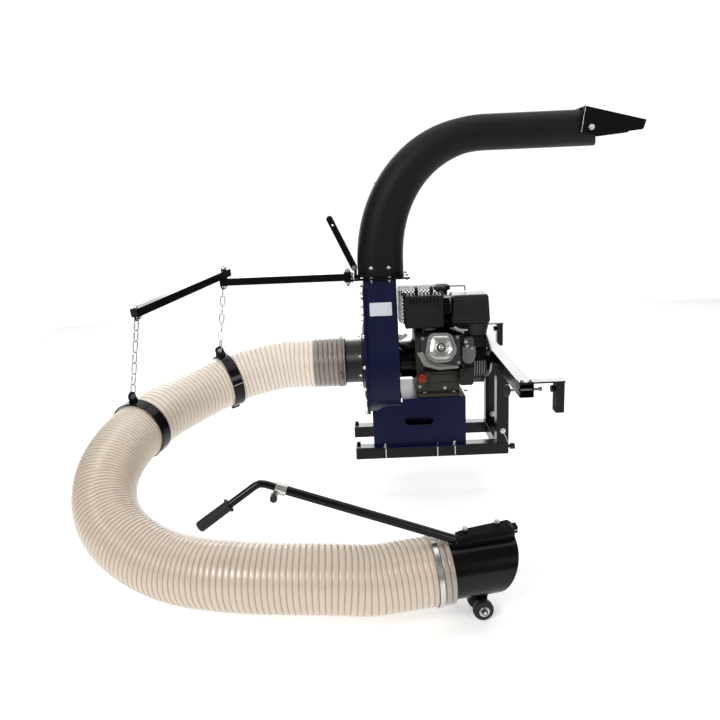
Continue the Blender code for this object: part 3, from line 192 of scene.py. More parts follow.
def dressed(node, material, edge=0.0008, smooth_under=32.0, second=None):
    """A CAD node's own surface with its loose corners made one, its sharp edges rounded by `edge` and its
    curved faces shaded as curves. Faces whose middles pass second's test get its material. It takes the
    node's place and rides on the node's body."""
    source = frame["nodes"][node].data
    corners = np.empty(len(source.vertices) * 3)
    source.vertices.foreach_get("co", corners)
    source.calc_loop_triangles()
    faces = np.empty(len(source.loop_triangles) * 3, np.int32)
    source.loop_triangles.foreach_get("vertices", faces)
    corners = corners.reshape(-1, 3)
    _, first, index = np.unique(np.round(corners, 6), axis=0, return_index=True, return_inverse=True)
    corners, faces = corners[first], index.reshape(-1)[faces.reshape(-1, 3)]
    whole = (faces[:, 0] != faces[:, 1]) & (faces[:, 1] != faces[:, 2]) & (faces[:, 0] != faces[:, 2])
    faces = faces[whole]
    made = mesh_object(f"{node}_dressed", corners, faces, material)
    if second:
        made.data.materials.append(second[0])
        where = second[1](corners[faces].mean(1)).astype(np.int32)
        made.data.polygons.foreach_set("material_index", where)
    if edge:
        rounded(made, edge, smooth_under, True)
    else:
        made.data.set_sharp_from_angle(angle=math.radians(smooth_under))
    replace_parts(made, node)
    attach(made, body_of(node))
    return made


for tube_name in ("front_rail", "back_rail", "post_tie", "front_post", "back_post", "crossbar"):
    dressed(tube_name, black_coat, 0.0022)

# Tailgate hooks
# Bent and welded from flat steel and tube, bolted on the crossbar's ends, a round rubber pad on each leg.
# The drawing's own frame has X along the crankshaft from the blower's middle, Y away from the front and Z up
# from the rails' underside; the tailgate's edge, where the machine hangs, lies at this point of it.
TAILGATE = np.array([0.417, 0.0, 0.418])


def quads_between(rows, columns, ring_of_rows):
    """Corner numbers of a grid's quads; its rows are closed loops, and the last may meet the first."""
    i, j = np.meshgrid(np.arange(rows if ring_of_rows else rows - 1), np.arange(columns), indexing="ij")
    low, high, beside = i * columns, (i + 1) % rows * columns, (j + 1) % columns
    return np.stack([low + j, low + beside, high + beside, high + j], -1).reshape(-1, 4)


def outwards(corners, faces):
    """The faces, all turned over if the volume that they enclose is negative."""
    p = corners[faces]
    inside_out = np.einsum("ij,ij->", p[:, 0], np.cross(p[:, 1], p[:, 2])) < 0
    return faces[:, ::-1] if inside_out else faces


def lattice(rows, ring_of_rows=False):
    """A closed surface through rows of points, each a closed loop; the first and last are closed by fans
    about their middles, or joined to each other where ring_of_rows is set."""
    rows = np.asarray(rows, float)
    m, n = rows.shape[:2]
    quads = quads_between(m, n, ring_of_rows)
    corners = rows.reshape(-1, 3)
    faces = np.concatenate([quads[:, [0, 1, 2]], quads[:, [0, 2, 3]]])
    if not ring_of_rows:
        k = np.arange(n)
        low = np.stack([np.full(n, m * n), (k + 1) % n, k], 1)
        high = np.stack([np.full(n, m * n + 1), (m - 1) * n + k, (m - 1) * n + (k + 1) % n], 1)
        corners = np.concatenate([corners, rows[0].mean(0)[None], rows[-1].mean(0)[None]])
        faces = np.concatenate([faces, low, high])
    return corners, outwards(corners, faces)


def across(way):
    """The direction as a unit vector, and two square to it: one level, one as upright as can be."""
    way = np.asarray(way, float) / np.linalg.norm(way)
    side = np.cross(way, [0, 0, 1]) if abs(way[2]) < 0.98 else np.cross(way, [0, 1, 0])
    side /= np.linalg.norm(side)
    return way, side, np.cross(side, way)


def spun(start, way, profile, sides=32):
    """A profile of (distance along, radius) turned about the axis: row k is start + along * way plus the
    radius times the cosine and sine of the angle on the two cross directions."""
    way, side, up = across(way)
    angle = np.linspace(0, 2 * math.pi, sides, endpoint=False)
    ring = np.cos(angle)[:, None] * side + np.sin(angle)[:, None] * up
    along, radius = np.array(profile, float).T
    rows = np.asarray(start, float) + along[:, None, None] * way + radius[:, None, None] * ring
    loop = abs(along[0] - along[-1]) < 1e-9 and abs(radius[0] - radius[-1]) < 1e-9
    return lattice(rows[:-1] if loop else rows, loop)


def washer(thick, hole, radius):
    """The profile of a flat ring, for spun."""
    return [(0, hole), (0, radius), (thick, radius), (thick, hole)]


def hex_bolt(at, way, wide, high, under, stub=0.0):
    """Hex head with a chamfered crown on a washer, and the thread's end standing `stub` out of it."""
    r = wide / 1.732
    parts = [spun(at, way, washer(0.0012, under * 0.55, under), 24),
             spun(at, way, [(0.0005, r), (high * 0.75, r), (high, r * 0.86), (high, r * 0.4)], 6)]
    if stub:
        thread = [(high * 0.5, wide * 0.3), (high + stub, wide * 0.3), (high + stub, 0.001)]
        parts.append(spun(at, way, thread, 14))
    return parts


def piece(name, parts, material, body="root", sharp=32.0, edge=0.0):
    """One object out of several closed surfaces, moved from the drawing's frame to the tailgate's."""
    counts = np.cumsum([0] + [len(corners) for corners, _ in parts])
    corners = np.concatenate([corners for corners, _ in parts]) - TAILGATE
    faces = np.concatenate([faces + shift for (_, faces), shift in zip(parts, counts)])
    made = mesh_object(name, corners, faces, material)
    made.data.set_sharp_from_angle(angle=math.radians(sharp))
    if edge:
        rounded(made, edge, sharp, False)
    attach(made, body)
    return made


def plated(name, colour, rough):
    """Zinc or bare metal: bright, with fine drawn scratches in the surface and a cloudy tone."""
    made = Finish(name, colour, rough, 1.0)
    dim, cloud = [c * 0.72 for c in colour], made.noise(30.0, 4.0, 0.6)
    return made.worn(rough - 0.05, cloud, 0.16, 1.0, dim, made.noise(600.0, 2.0), 0.08, 0.0003)


zinc = plated("zinc_plate", (0.7, 0.7, 0.68), 0.26)
dull_zinc = plated("weathered_zinc", (0.3, 0.29, 0.26), 0.48)


def bolts(name, rows, body="root", metal=zinc):
    """A set of hex bolts as one piece; each row holds what hex_bolt takes."""
    return piece(name, sum((hex_bolt(*row) for row in rows), []), metal, body)


UP, DOWN, FORWARD, RIGHT, LEFT = (0, 0, 1), (0, 0, -1), (0, -1, 0), (1, 0, 0), (-1, 0, 0)
for hook_name, y in (("near_hook", -0.556), ("far_hook", 0.556)):
    dressed(hook_name, black_coat, 0.0012)
    bolts(f"{hook_name}_bolts", [((x, y, 0.4245), UP, 0.013, 0.006, 0.0115, 0.003) for x in (0.338, 0.368)])

# Clamp screws
# A zinc plated screw through the crossbar presses the tailgate against each hook pad, turned by a black star
# knob of moulded plastic. A third screw stands off the post's foot, under a bolt with a thin rod.
KNOB_END = 0.2992


def moulded(name, colour, rough, grain=0.12, size=700.0, gloss=0.35):
    """Moulded plastic or rubber: fine grain in the surface and a faint cloudiness in colour and gloss."""
    made = Finish(name, colour, rough, 0.0, Specular_IOR_Level=gloss)
    pale, cloud = [c * 1.6 + 0.002 for c in colour], made.noise(14.0, 4.0, 0.6)
    return made.worn(rough - 0.07, cloud, 0.16, 0.5, pale, made.noise(size), grain, 0.0005)


def bent_rod(points, radius, sides):
    """A wire or a thin hose, made of a straight round piece between each two points."""
    p = np.array(points, float)
    return [spun(a, b - a, [(0, radius), (np.linalg.norm(b - a), radius)], sides) for a, b in zip(p, p[1:])]


black_plastic = moulded("black_moulded_plastic", (0.007, 0.007, 0.0072), 0.38)
rubber = moulded("black_rubber", (0.008, 0.008, 0.008), 0.6, 0.2, 420.0)
for screw_name in ("near_clamp_screw", "far_clamp_screw"):
    dressed(screw_name, dull_zinc, 0.0005, second=(rubber, lambda p: p[:, 0] < KNOB_END - TAILGATE[0]))
dressed("stand_off_screw", rubber, 0.0008)
post_foot = hex_bolt((0.351, -0.1604, 0.1014), FORWARD, 0.012, 0.007, 0.011)
post_foot += bent_rod([(0.351, -0.164, 0.1014), (0.372, -0.164, 0.052)], 0.0018, 10)
post_foot += hex_bolt((0.3577, 0.1116, 0.0869), FORWARD, 0.013, 0.007, 0.012)
piece("post_foot_bolts", post_foot, zinc)

# Engine pedestal
# Folded from one sheet, with a round-cornered hand slot in each side and feet turned out over the rails,
# painted dark blue. Two bolts clamp each foot to its rail, and thin studs stand in front of the near one.
navy_paint = powder_coat("dark_blue_paint", (0.0042, 0.006, 0.03), 0.34, 0.06, 0.14)
dressed("engine_pedestal", navy_paint, 0.001)
foot_bolts = []
for x in (-0.141, 0.146):
    for y in (-0.1675, 0.1675):
        foot_bolts += hex_bolt((x, y, 0.0545), UP, 0.013, 0.006, 0.0115, 0.009)
for x, low in ((-0.1385, 0.004), (0.078, 0.002), (0.151, 0.008)):
    foot_bolts.append(spun((x, -0.1632, low), UP, [(0, 0.0024), (0.06, 0.0024)], 12))
piece("pedestal_foot_bolts", foot_bolts, zinc)

# Engine block
# Die-cast crankcase in dull grey-green paint; the cylinder leans forwards and its fins are cast with it, and
# the head bolted on it carries the bare silver valve cover. An orange winged cap closes the oil filler.


def casting(name, colour, rough, metal, grain=0.35):
    """Sand or die casting: a pebbled skin, with a tone that wanders a little."""
    made = Finish(name, colour, rough, metal)
    pebbles = made.noise(260.0, 4.0, 0.6)
    dim = [c * 0.6 for c in colour]
    return made.worn(rough - 0.08, made.noise(25.0, 5.0, 0.65), 0.2, 1.0, dim, pebbles, grain, 0.0006)


cast_silver = casting("bare_casting", (0.7, 0.73, 0.68), 0.27, 0.92, 0.04)
cast_grey = casting("painted_casting", (0.04, 0.039, 0.031), 0.42, 0.3)
head_grey = casting("head_casting", (0.085, 0.085, 0.075), 0.42, 0.5)
head_black = casting("head_paint", (0.016, 0.016, 0.016), 0.5, 0.2)
orange = moulded("orange_plastic", (0.22, 0.021, 0.009), 0.38, 0.05)
dressed("crankcase", cast_grey, 0.0015)
dressed("cylinder_barrel", cast_grey, 0.0006)
dressed("cylinder_head", head_black, 0.0012)

CRANK_Z, CYLINDER_TILT = 0.39, math.radians(20)
COVER_X, COVER_FOOT, COVER_UP = 0.0905, 0.2503, 0.008
head_way = np.array([0.0, -math.cos(CYLINDER_TILT), math.sin(CYLINDER_TILT)])
head_up = np.array([0.0, math.sin(CYLINDER_TILT), math.cos(CYLINDER_TILT)])


def at_head(x, along, up):
    """A point at x, so far along the cylinder's axis from the crankshaft and so far above it."""
    return np.array([x, 0.0, CRANK_Z]) + along * head_way + up * head_up


def rectangle(u0, u1, v0, v1):
    return [(u0, v0), (u1, v0), (u1, v1), (u0, v1)]


def extruded(outline, low, high, axis):
    """A flat outline carried along one axis: its two columns are the other two axes in order."""
    flat = np.array(outline, float)
    return lattice([np.insert(flat, axis, level, axis=1) for level in (low, high)])


def softened(outline, count=96, round_by=2):
    """The closed outline with points at even steps, its corners rounded by a running mean over a few."""
    p = np.array([*outline, outline[0]], float)
    run = np.concatenate([[0.0], np.cumsum(np.linalg.norm(np.diff(p, axis=0), axis=1))])
    s = np.linspace(0, run[-1], count, endpoint=False)
    even = np.stack([np.interp(s, run, p[:, k]) for k in (0, 1)], 1)
    return sum(np.roll(even, k, axis=0) for k in range(-round_by, round_by + 1)) / (2 * round_by + 1)


cover_line = softened([(-0.033, 0.057), (0.034, 0.055), (0.048, 0.042), (0.063, -0.006), (0.062, -0.018),
                       (0.043, -0.046), (0.025, -0.056), (-0.023, -0.056), (-0.043, -0.046),
                       (-0.062, -0.022), (-0.061, -0.008), (-0.048, 0.046)]) * [1.0, 1.05]
cover_profile = [(0.6, 0.0), (1.0, 0.0), (1.0, 0.0055), (0.985, 0.007), (0.9, 0.007),
                 (0.89, 0.0045), (0.87, 0.0045), (0.85, 0.008), (0.79, 0.0175), (0.76, 0.0195),
                 (0.48, 0.021), (0.465, 0.0185), (0.44, 0.018), (0.425, 0.0205), (0.36, 0.021),
                 (0.345, 0.016), (0.25, 0.015)]
cover_spread = cover_line[:, :1] * [1, 0, 0] + cover_line[:, 1:] * head_up
cover_rows = [at_head(COVER_X, COVER_FOOT + out, COVER_UP) + grow * cover_spread
              for grow, out in cover_profile]
cover_body = body_of("valve_cover")
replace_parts(piece("valve_cover_dome", [lattice(cover_rows)], cast_silver, cover_body, 50.0), "valve_cover")
cover_mid = at_head(COVER_X, 0.2655, COVER_UP)
seal = spun(cover_mid, head_way, washer(0.004, 0.0125, 0.0165), 40)
piece("valve_cover_ring", [seal], black_plastic, cover_body)
boss = [(0, 0.002), (0, 0.012), (0.005, 0.0118), (0.006, 0.0105), (0.0045, 0.0095), (0.0045, 0.008),
        (0.01, 0.0075), (0.0105, 0.006), (0.0105, 0.001)]
piece("valve_cover_boss", [spun(cover_mid, head_way, boss)], cast_silver, cover_body)
skirt = [(-0.004, -0.008), (0.018, -0.006), (0.034, -0.05), (0.08, -0.068), (0.156, -0.066),
         (0.156, -0.074), (0.08, -0.078), (0.02, -0.06)]
skirt_rows = [[at_head(x, along, up) for x, up in skirt] for along in (0.234, 0.2525)]
piece("head_skirt", [lattice(skirt_rows)], dull_zinc, cover_body)
head_corners = ((0.021, 0.047), (0.159, 0.048), (0.023, -0.051), (0.158, -0.053))
head_bolts = [(at_head(x, 0.25, up), head_way, 0.008, 0.005, 0.0062) for x, up in head_corners]
bolts("head_bolts", head_bolts, cover_body)
case_bolts = [((x, -0.1352, z), FORWARD, 0.008, 0.005, 0.0065) for x, z in ((0.012, 0.3), (0.115, 0.292))]
case_bolts += [((x, -0.1425, 0.2765), UP, 0.01, 0.005, 0.009) for x in (0.03, 0.15, 0.2)]
bolts("crankcase_bolts", case_bolts)
exhaust = [spun((0.05, -0.168, 0.548), UP, washer(0.008, 0.004, 0.026), 28)]
for x in (0.026, 0.074):
    exhaust += hex_bolt((x, -0.176, 0.5565), (0, -0.6, -0.8), 0.011, 0.008, 0.009, 0.004)
piece("exhaust_flange", exhaust, head_grey, "root", 40.0)
boot = [(0, 0.004), (0, 0.009), (0.012, 0.009), (0.014, 0.011), (0.032, 0.01), (0.036, 0.006),
        (0.036, 0.001)]
piece("spark_plug_boot", [spun((0.128, -0.196, 0.5), (0.55, -0.62, 0.56), boot, 24)], rubber, "root", 40.0)
lead = [(0.146, -0.216, 0.518), (0.165, -0.205, 0.524), (0.185, -0.18, 0.518), (0.205, -0.14, 0.505),
        (0.225, -0.11, 0.49)]
piece("plug_lead", bent_rod(lead, 0.0035, 12), rubber)
case_ribs = [extruded(rectangle(x - 0.0025, x + 0.0025, -0.139, -0.134), 0.284, 0.352, 2)
             for x in (0.052, 0.06, 0.168)]
case_ribs += [extruded(rectangle(0.066, 0.16, -0.1382, -0.134), z, z + 0.003, 2) for z in (0.312, 0.346)]
piece("crankcase_ribs", case_ribs, cast_grey)
dressed("oil_cap", orange)
grip_way, grip_side = np.array([0.45, 0.0, 0.89]), [0.89, 0, -0.45]
grip_rows = [np.array([0.02, y, 0.345]) + np.outer([-w, w, w, -w], grip_side)
             + np.outer([-0.003, -0.003, 0.003, 0.003], grip_way)
             for y, w in ((-0.1765, 0.015), (-0.184, 0.0145), (-0.186, 0.012))]
piece("oil_cap_grip", [lattice(grip_rows)], orange, body_of("oil_cap"))

# Muffler and its guard
# A pressed steel box in heat-proof black, slotted along its top edge and ribbed across; over its top and
# left side stands a guard of perforated sheet.
heat_black = powder_coat("heat_proof_black", (0.0048, 0.0048, 0.0045), 0.5, 0.12, 0.25)


def pressed_box(low, high, soft, relief=None, columns=60, rows=40, taper=0.0):
    """A box with round edges: each row's outline is an inner rectangle plus the edge's radius along the
    outward normals, less what the rounded top and bottom take. The front goes back by relief(x, z), and
    the outline narrows by the taper from bottom to top."""
    (x0, y0, z0), (x1, y1, z1) = low, high
    bend = np.linspace(0, math.pi / 2, 5)
    tall = z1 - z0
    height = np.concatenate([soft * (1 - np.cos(bend)), np.linspace(soft, tall - soft, rows)[1:-1],
                             tall - soft * (1 - np.cos(bend[::-1]))])
    reach = np.concatenate([soft * np.sin(bend), np.full(rows - 2, soft), soft * np.sin(bend[::-1])])
    core = [np.stack([np.linspace(x0 + soft, x1 - soft, columns), np.full(columns, y0 + soft)], 1)]
    normal = [np.tile([0.0, -1.0], (columns, 1))]
    inner = rectangle(x0 + soft, x1 - soft, y0 + soft, y1 - soft)
    for (cx, cy), turned in zip((*inner[1:], inner[0]), (-90, 0, 90, 180)):
        a = np.radians(np.linspace(turned, turned + 90, 6)[1:-1])
        core.append(np.tile([cx, cy], (len(a), 1)))
        normal.append(np.stack([np.cos(a), np.sin(a)], 1))
    core, normal = np.concatenate(core), np.concatenate(normal)
    flat = core[None] + reach[:, None, None] * normal[None]
    middle = np.array([(x0 + x1) / 2, (y0 + y1) / 2])
    flat = middle + (flat - middle) * (1 - taper * height / tall)[:, None, None]
    z = np.repeat(height[:, None] + z0, len(core), 1)
    if relief is not None:
        flat[:, :columns, 1] += relief(flat[:, :columns, 0], z[:, :columns])
    return lattice(np.dstack([flat, z]))


def muffler_face(x, z):
    """Slots stand upright in a row near the top, and ribs cross below them, each a smooth step in depth."""
    near = np.abs(((x + 0.03) / 0.0135) % 1.0 - 0.5) < 0.24
    slot = near & (x > -0.03) & (x < 0.092) & (z > 0.66) & (z < 0.676)
    rib = 0.5 - 0.5 * np.cos(2 * math.pi * (z - 0.575) / 0.017)
    return slot * 0.008 + np.where((z > 0.575) & (z < 0.652) & (np.abs(x - 0.03) < 0.062), rib, 0) * 0.0035


muffler = pressed_box((-0.045, -0.2, 0.558), (0.106, -0.085, 0.687), 0.005, muffler_face, 150, 72)
near_y, near_z = at_head(0, 0.175, 0.0603)[1:]
far_y, far_z = at_head(0, 0.13, 0.0603)[1:]
neck = extruded([(far_y, far_z), (near_y, near_z), (near_y, 0.562), (far_y, 0.562)], 0.03, 0.07, 0)
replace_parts(piece("muffler_shell", [muffler, neck], heat_black, "root", 25.0), "muffler")
HOLES_PER_METRE = 70.0


def perforated(name, weights, hole=0.105):
    """Dull sheet full of round holes: along and across it, each a weighted sum of the object's coordinates,
    run two square grids of circles, one half a step off the other, and inside a circle there is no metal."""
    made = Finish(name, (0.006, 0.006, 0.006), 0.7, 0.0, Specular_IOR_Level=0.05)
    corner = made.add("ShaderNodeSeparateXYZ", {}, {0: made.place()}).socket.node
    axes = [Wire(made, corner.outputs[k]) for k in range(3)]
    along, over = ((axes[0] * a + axes[1] * b + axes[2] * c) * HOLES_PER_METRE for a, b, c in weights)
    holes = []
    for shift in (0.0, 0.5):
        u, v = (made.math("FRACT", way + shift) - 0.5 for way in (along, over))
        holes.append((u * u + v * v) < hole)
    made.feed("Alpha", 1.0 - made.math("MAXIMUM", *holes))
    made.feed("Roughness", 0.45 + made.noise(40.0) * 0.2)
    return made.material


def bent_sheet(path, low, high, order, thick=0.0012):
    """A sheet that follows a path of (depth, height) pairs: at each end of its width the path goes out along
    one face and back along the other, and order says which world axis each of width, depth and height is."""
    p = np.array(path, float)
    step = np.gradient(p, axis=0)
    step /= np.linalg.norm(step, axis=1)[:, None]
    inside = p - thick * np.stack([-step[:, 1], step[:, 0]], 1)
    loop = np.concatenate([p, inside[::-1]])
    rows = np.array([np.column_stack([np.full(len(loop), w), loop]) for w in np.linspace(low, high, 4)])
    corners = rows[..., np.argsort(order)].reshape(-1, 3)
    m, k = rows.shape[:2]
    quads = quads_between(m, k, False)
    faces = [quads[:, [0, 1, 2]], quads[:, [0, 2, 3]]]
    e = np.arange(len(p) - 1)
    for base, flip in ((0, 1), ((m - 1) * k, -1)):
        strip = (np.stack([e, e + 1, k - 2 - e, k - 1 - e], 1) + base)[:, ::flip]
        faces += [strip[:, [0, 2, 1]], strip[:, [0, 3, 2]]]
    faces = np.concatenate(faces)
    return corners, outwards(corners, faces)


top_path = [(-0.078, 0.714), (-0.12, 0.7155), (-0.15, 0.7145), (-0.172, 0.71), (-0.19, 0.701),
            (-0.2035, 0.689)]
left_path = [(-0.078, -0.0672), (-0.12, -0.0672), (-0.15, -0.066), (-0.172, -0.062), (-0.19, -0.055),
             (-0.203, -0.045)]
top_holes = perforated("perforated_top", ((1, 0, 0), (0, 1, -0.5)))
side_holes = perforated("perforated_side", ((0, 0, 1), (-0.5, 1, 0)), 0.07)
top_sheet = bent_sheet(top_path, -0.067, 0.118, (0, 1, 2))
left_sheet = bent_sheet(left_path, 0.58, 0.708, (2, 1, 0))
for guard_name, sheet, holes in (("guard_top", top_sheet, top_holes),
                                 ("guard_left", left_sheet, side_holes)):
    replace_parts(piece(guard_name, [sheet], holes, "root", 60.0), "muffler_guard")
feet = [extruded(rectangle(x, x + 0.012, -0.15, -0.12), 0.6875, 0.714, 2) for x in (0.0, 0.06)]
piece("guard_feet", feet, heat_black)
louvres = [rectangle(0.108, 0.143, z, z + 0.0035) for z in np.linspace(0.612, 0.668, 6)]
louvres.append(rectangle(0.108, 0.112, 0.56, 0.69))
piece("muffler_louvres", [extruded(outline, -0.17, -0.1, 1) for outline in louvres], heat_black)
stay = [(0.128, -0.08, 0.706), (0.19, -0.06, 0.702), (0.212, -0.05, 0.7), (0.214, -0.05, 0.68)]
piece("guard_stay", bent_rod(stay, 0.0025, 10), black_coat)

# Air cleaner, carburettor and controls
# The air cleaner is a black plastic box clipped on its base, with a seam near its foot; beneath it hang the
# dull grey carburettor with its bowl, the throttle lever and the black box of the switch.


def cleaner_face(x, z):
    """A groove runs round above the foot, and a shallow panel is sunk in the middle of the face."""
    groove = np.exp(-((z - 0.574) / 0.0018) ** 2) * 0.003
    edge = np.clip((np.minimum.reduce([x - 0.158, 0.284 - x, z - 0.584, 0.662 - z])) / 0.004, 0, 1)
    return groove + edge * 0.0012


lid = pressed_box((0.142, -0.156, 0.5586), (0.302, -0.02, 0.676), 0.013, cleaner_face, 70, 60, 0.09)
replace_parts(piece("air_cleaner_lid", [lid], black_plastic, "root", 40.0), "air_cleaner_cover")
dressed("air_cleaner_base", black_plastic, 0.0015)
dressed("control_box", black_plastic, 0.0015)
dressed("carburettor", head_grey)
fittings = hex_bolt((0.208, -0.163, 0.405), DOWN, 0.01, 0.006, 0.009)
for x, z in ((0.196, 0.494), (0.22, 0.466)):
    fittings += hex_bolt((x, -0.1862, z), FORWARD, 0.008, 0.005, 0.007)
fittings.append(spun((0.208, -0.163, 0.4565), DOWN, washer(0.004, 0.02, 0.025)))
idle_screw = [(0, 0.001), (0, 0.006), (0.01, 0.0055), (0.01, 0.001)]
fittings.append(spun((0.2, -0.186, 0.478), FORWARD, idle_screw, 20))
piece("carburettor_fittings", fittings, zinc)
dressed("throttle_lever", zinc, 0.0004)
cup = [[(0.207 + u * w, -0.17 + v * 0.018, z) for u, v in rectangle(-1, 1, -1, 1)]
       for w, z in ((0.027, 0.432), (0.02, 0.412), (0.008, 0.404))]
bowl = [pressed_box((0.178, -0.19, 0.43), (0.236, -0.15, 0.474), 0.006), lattice(cup)]
piece("float_bowl", bowl, casting("pot_metal", (0.17, 0.17, 0.16), 0.45, 0.4), "root", 40.0)
heat_plate = extruded(rectangle(0.109, 0.144, 0.606, 0.674), -0.1035, -0.1015, 1)
piece("heat_plate", [heat_plate], plated("bright_sheet", (0.85, 0.85, 0.84), 0.6))
plate = [(0.15, 0.548), (0.172, 0.534), (0.206, 0.535), (0.208, 0.541), (0.176, 0.543), (0.154, 0.556)]
piece("control_plate", [extruded(plate, -0.168, -0.1665, 1)], zinc)
fuel_line = [(0.185, -0.158, 0.455), (0.178, -0.172, 0.43), (0.182, -0.178, 0.4), (0.19, -0.174, 0.383)]
piece("fuel_line", bent_rod(fuel_line, 0.0038, 12), rubber)
piece("engine_switch", [pressed_box((0.188, -0.1765, 0.34), (0.214, -0.17, 0.37), 0.002)], black_plastic)

# Fuel tank
# Two pressed shells seamed together, painted gloss black, with a ribbed plastic cap.
dressed("fuel_tank", black_coat, 0.004)
dressed("fuel_cap", black_plastic, 0.001)
cap_mid, CAP_R, rib = np.array([0.13, 0.06, 0.674]), 0.0335, [(0, 0.0022), (0.014, 0.0022)]
cap_ribs = [spun(cap_mid + [CAP_R * math.cos(a), CAP_R * math.sin(a), 0], UP, rib, 8)
            for a in np.linspace(0, 2 * math.pi, 24, endpoint=False)]
piece("fuel_cap_ribs", cap_ribs, black_plastic, body_of("fuel_cap"))

# Starter side
# The flywheel turns in a pressed shroud with air slots; on it sits the recoil cover, with the handle of the
# rope on the far side.
dressed("fan_shroud", black_coat, 0.0015)
BAR_R, BAR_HALF, BAR_HIGH = 0.1152, 0.0015, 0.0012
slope = np.radians(np.linspace(-3, 34, 10))
bars = []
for x in (0.243, 0.253, 0.263, 0.273, 0.283):
    bars.append(lattice([[(x + dx, -(BAR_R + dr) * math.cos(a), CRANK_Z - (BAR_R + dr) * math.sin(a))
                          for dx, dr in rectangle(-BAR_HALF, BAR_HALF, 0, BAR_HIGH)] for a in slope]))
piece("shroud_bars", bars, dull_zinc)
dressed("recoil_cover", black_coat, 0.001)


def round_crank(x, radius, angle):
    """A point in the plane x, on a circle about the crankshaft."""
    return x, radius * math.cos(angle), CRANK_Z + radius * math.sin(angle)


bolts("recoil_bolts", [(round_crank(0.2945, 0.1, a), RIGHT, 0.009, 0.005, 0.0075)
                       for a in np.radians([30, 150, 270])])
dressed("flywheel", head_grey, 0.0)
dressed("crankshaft", plated("ground_steel", (0.5, 0.5, 0.51), 0.22), 0.0)
dressed("starter_handle", black_plastic, 0.0015)

# Blower
# Scroll housing and side cover of 4 mm sheet in the same dark blue, bolted together all round their lip; the
# duct's top plate is black. A black plastic inlet collar, an impeller of welded steel, and a black adapter.
TOP_PLATE_Z = 0.7468
dressed("blower_housing", navy_paint, second=(black_coat, lambda p: p[:, 2] > TOP_PLATE_Z - TAILGATE[2]))
dressed("inlet_cover", navy_paint)
dressed("inlet_collar", black_plastic, 0.001)
dressed("adapter", black_coat)
dressed("impeller", plated("mill_steel", (0.36, 0.35, 0.34), 0.45), 0.0)
FRONT_TOP, FRONT_Y, FRONT_LEAN = 0.747, -0.11, 0.3434
front_out = np.array([0.0, -1.0, FRONT_LEAN]) / math.hypot(1, FRONT_LEAN)


def on_front(x, z, out):
    """A point on the sloping front of the duct, so far out of its surface: the face runs from the duct's
    mouth down to the drum, going forwards by the lean for each unit of height."""
    return np.array([x, FRONT_Y - (FRONT_TOP - z) * FRONT_LEAN, z]) + out * front_out


def front_plate(x0, x1, z0, z1, out, corner=0.0):
    """A thin plate on the duct's front: its outline with cut corners at two distances from the face."""
    outline = [(x0 + corner, z0), (x1 - corner, z0), (x1, z0 + corner), (x1, z1 - corner), (x1 - corner, z1),
               (x0 + corner, z1), (x0, z1 - corner), (x0, z0 + corner)]
    return lattice([[on_front(x, z, level) for x, z in outline] for level in (0.0001, out)])


plate_finish = Finish("bare_rating_plate", (0.62, 0.64, 0.68), 0.35)
plate_finish.feed("Roughness", 0.32 + plate_finish.noise(60.0) * 0.16)
plate = front_plate(-0.183, -0.094, 0.608, 0.659, 0.0006, 0.002)
piece("rating_plate", [plate], plate_finish.material)
folds = [front_plate(-0.2045, -0.0725, *rest) for rest in ((0.548, 0.556, 0.0012), (0.706, 0.71, 0.001))]
piece("duct_folds", folds, navy_paint)
dome = [(0, 0.0003), (0, 0.0017), (0.0009, 0.0012), (0.0011, 0.0002)]
rivets = [spun(on_front(x, z, 0.0004), front_out, dome, 12)
          for z in (0.612, 0.655) for x in (-0.1795, -0.0975)]
piece("plate_rivets", rivets, zinc)

LIP_R, COVER_FACE, LIP_BACK = 0.2275, -0.2093, -0.201
lip_points = [round_crank(0, LIP_R, a)[1:] for a in np.radians(np.linspace(174, 409, 11))]
lip_points += [tuple(on_front(0, z, 0.0072)[1:]) for z in (0.695, 0.645, 0.592, 0.53)]
lip_points += [(0.1172, z) for z in (0.695, 0.64)]
bolts("cover_bolts", [((COVER_FACE, y, z), LEFT, 0.012, 0.007, 0.0078, 0.004) for y, z in lip_points])
bolts("cover_nuts", [((LIP_BACK, y, z), RIGHT, 0.011, 0.006, 0.0075) for y, z in lip_points],
      metal=navy_paint)
bolts("collar_bolts", [(round_crank(-0.2277, 0.1065, a), LEFT, 0.009, 0.005, 0.0075, 0.006)
                       for a in np.radians(np.arange(8) * 45 + 22.5)])
bracket = [extruded([(-0.071, 0.492), (-0.046, 0.498), (-0.032, 0.508), (-0.034, 0.518), (-0.05, 0.515),
                     (-0.071, 0.52)], -0.1, -0.097, 1)]
for x, z in ((-0.04, 0.512), (-0.061, 0.5)):
    bracket += hex_bolt((x, -0.1002, z), FORWARD, 0.01, 0.006, 0.009)
piece("guard_bracket", bracket, zinc)
bolts("adapter_bolts", [(round_crank(-0.0655, 0.08, a), RIGHT, 0.009, 0.006, 0.0048)
                        for a in np.radians(np.arange(4) * 90 + 45)])

# Chute
# A moulded black elbow that goes from a rounded square at the foot to a round mouth cut on a slant, turned
# by a lever of two flat bars; a folded steel hood tilts over the mouth on two bolts.
elbow_black = moulded("elbow_plastic", (0.0022, 0.0022, 0.0026), 0.55, 0.03, 500.0, 0.22)
ELBOW_X, BEND_X, ELBOW_LOW, ELBOW_RISE, BEND_FULL = -0.131, 0.44, 0.8, 0.504, 0.94
FOOT_X, FOOT_R, FOOT_Z, FOOT_TOP, MOUTH_X = -0.1385, 0.107, 0.7553, 0.7613, 0.7115
FOOT_HALF, MOUTH_HALF, WALL = 0.095, 0.07, 0.004


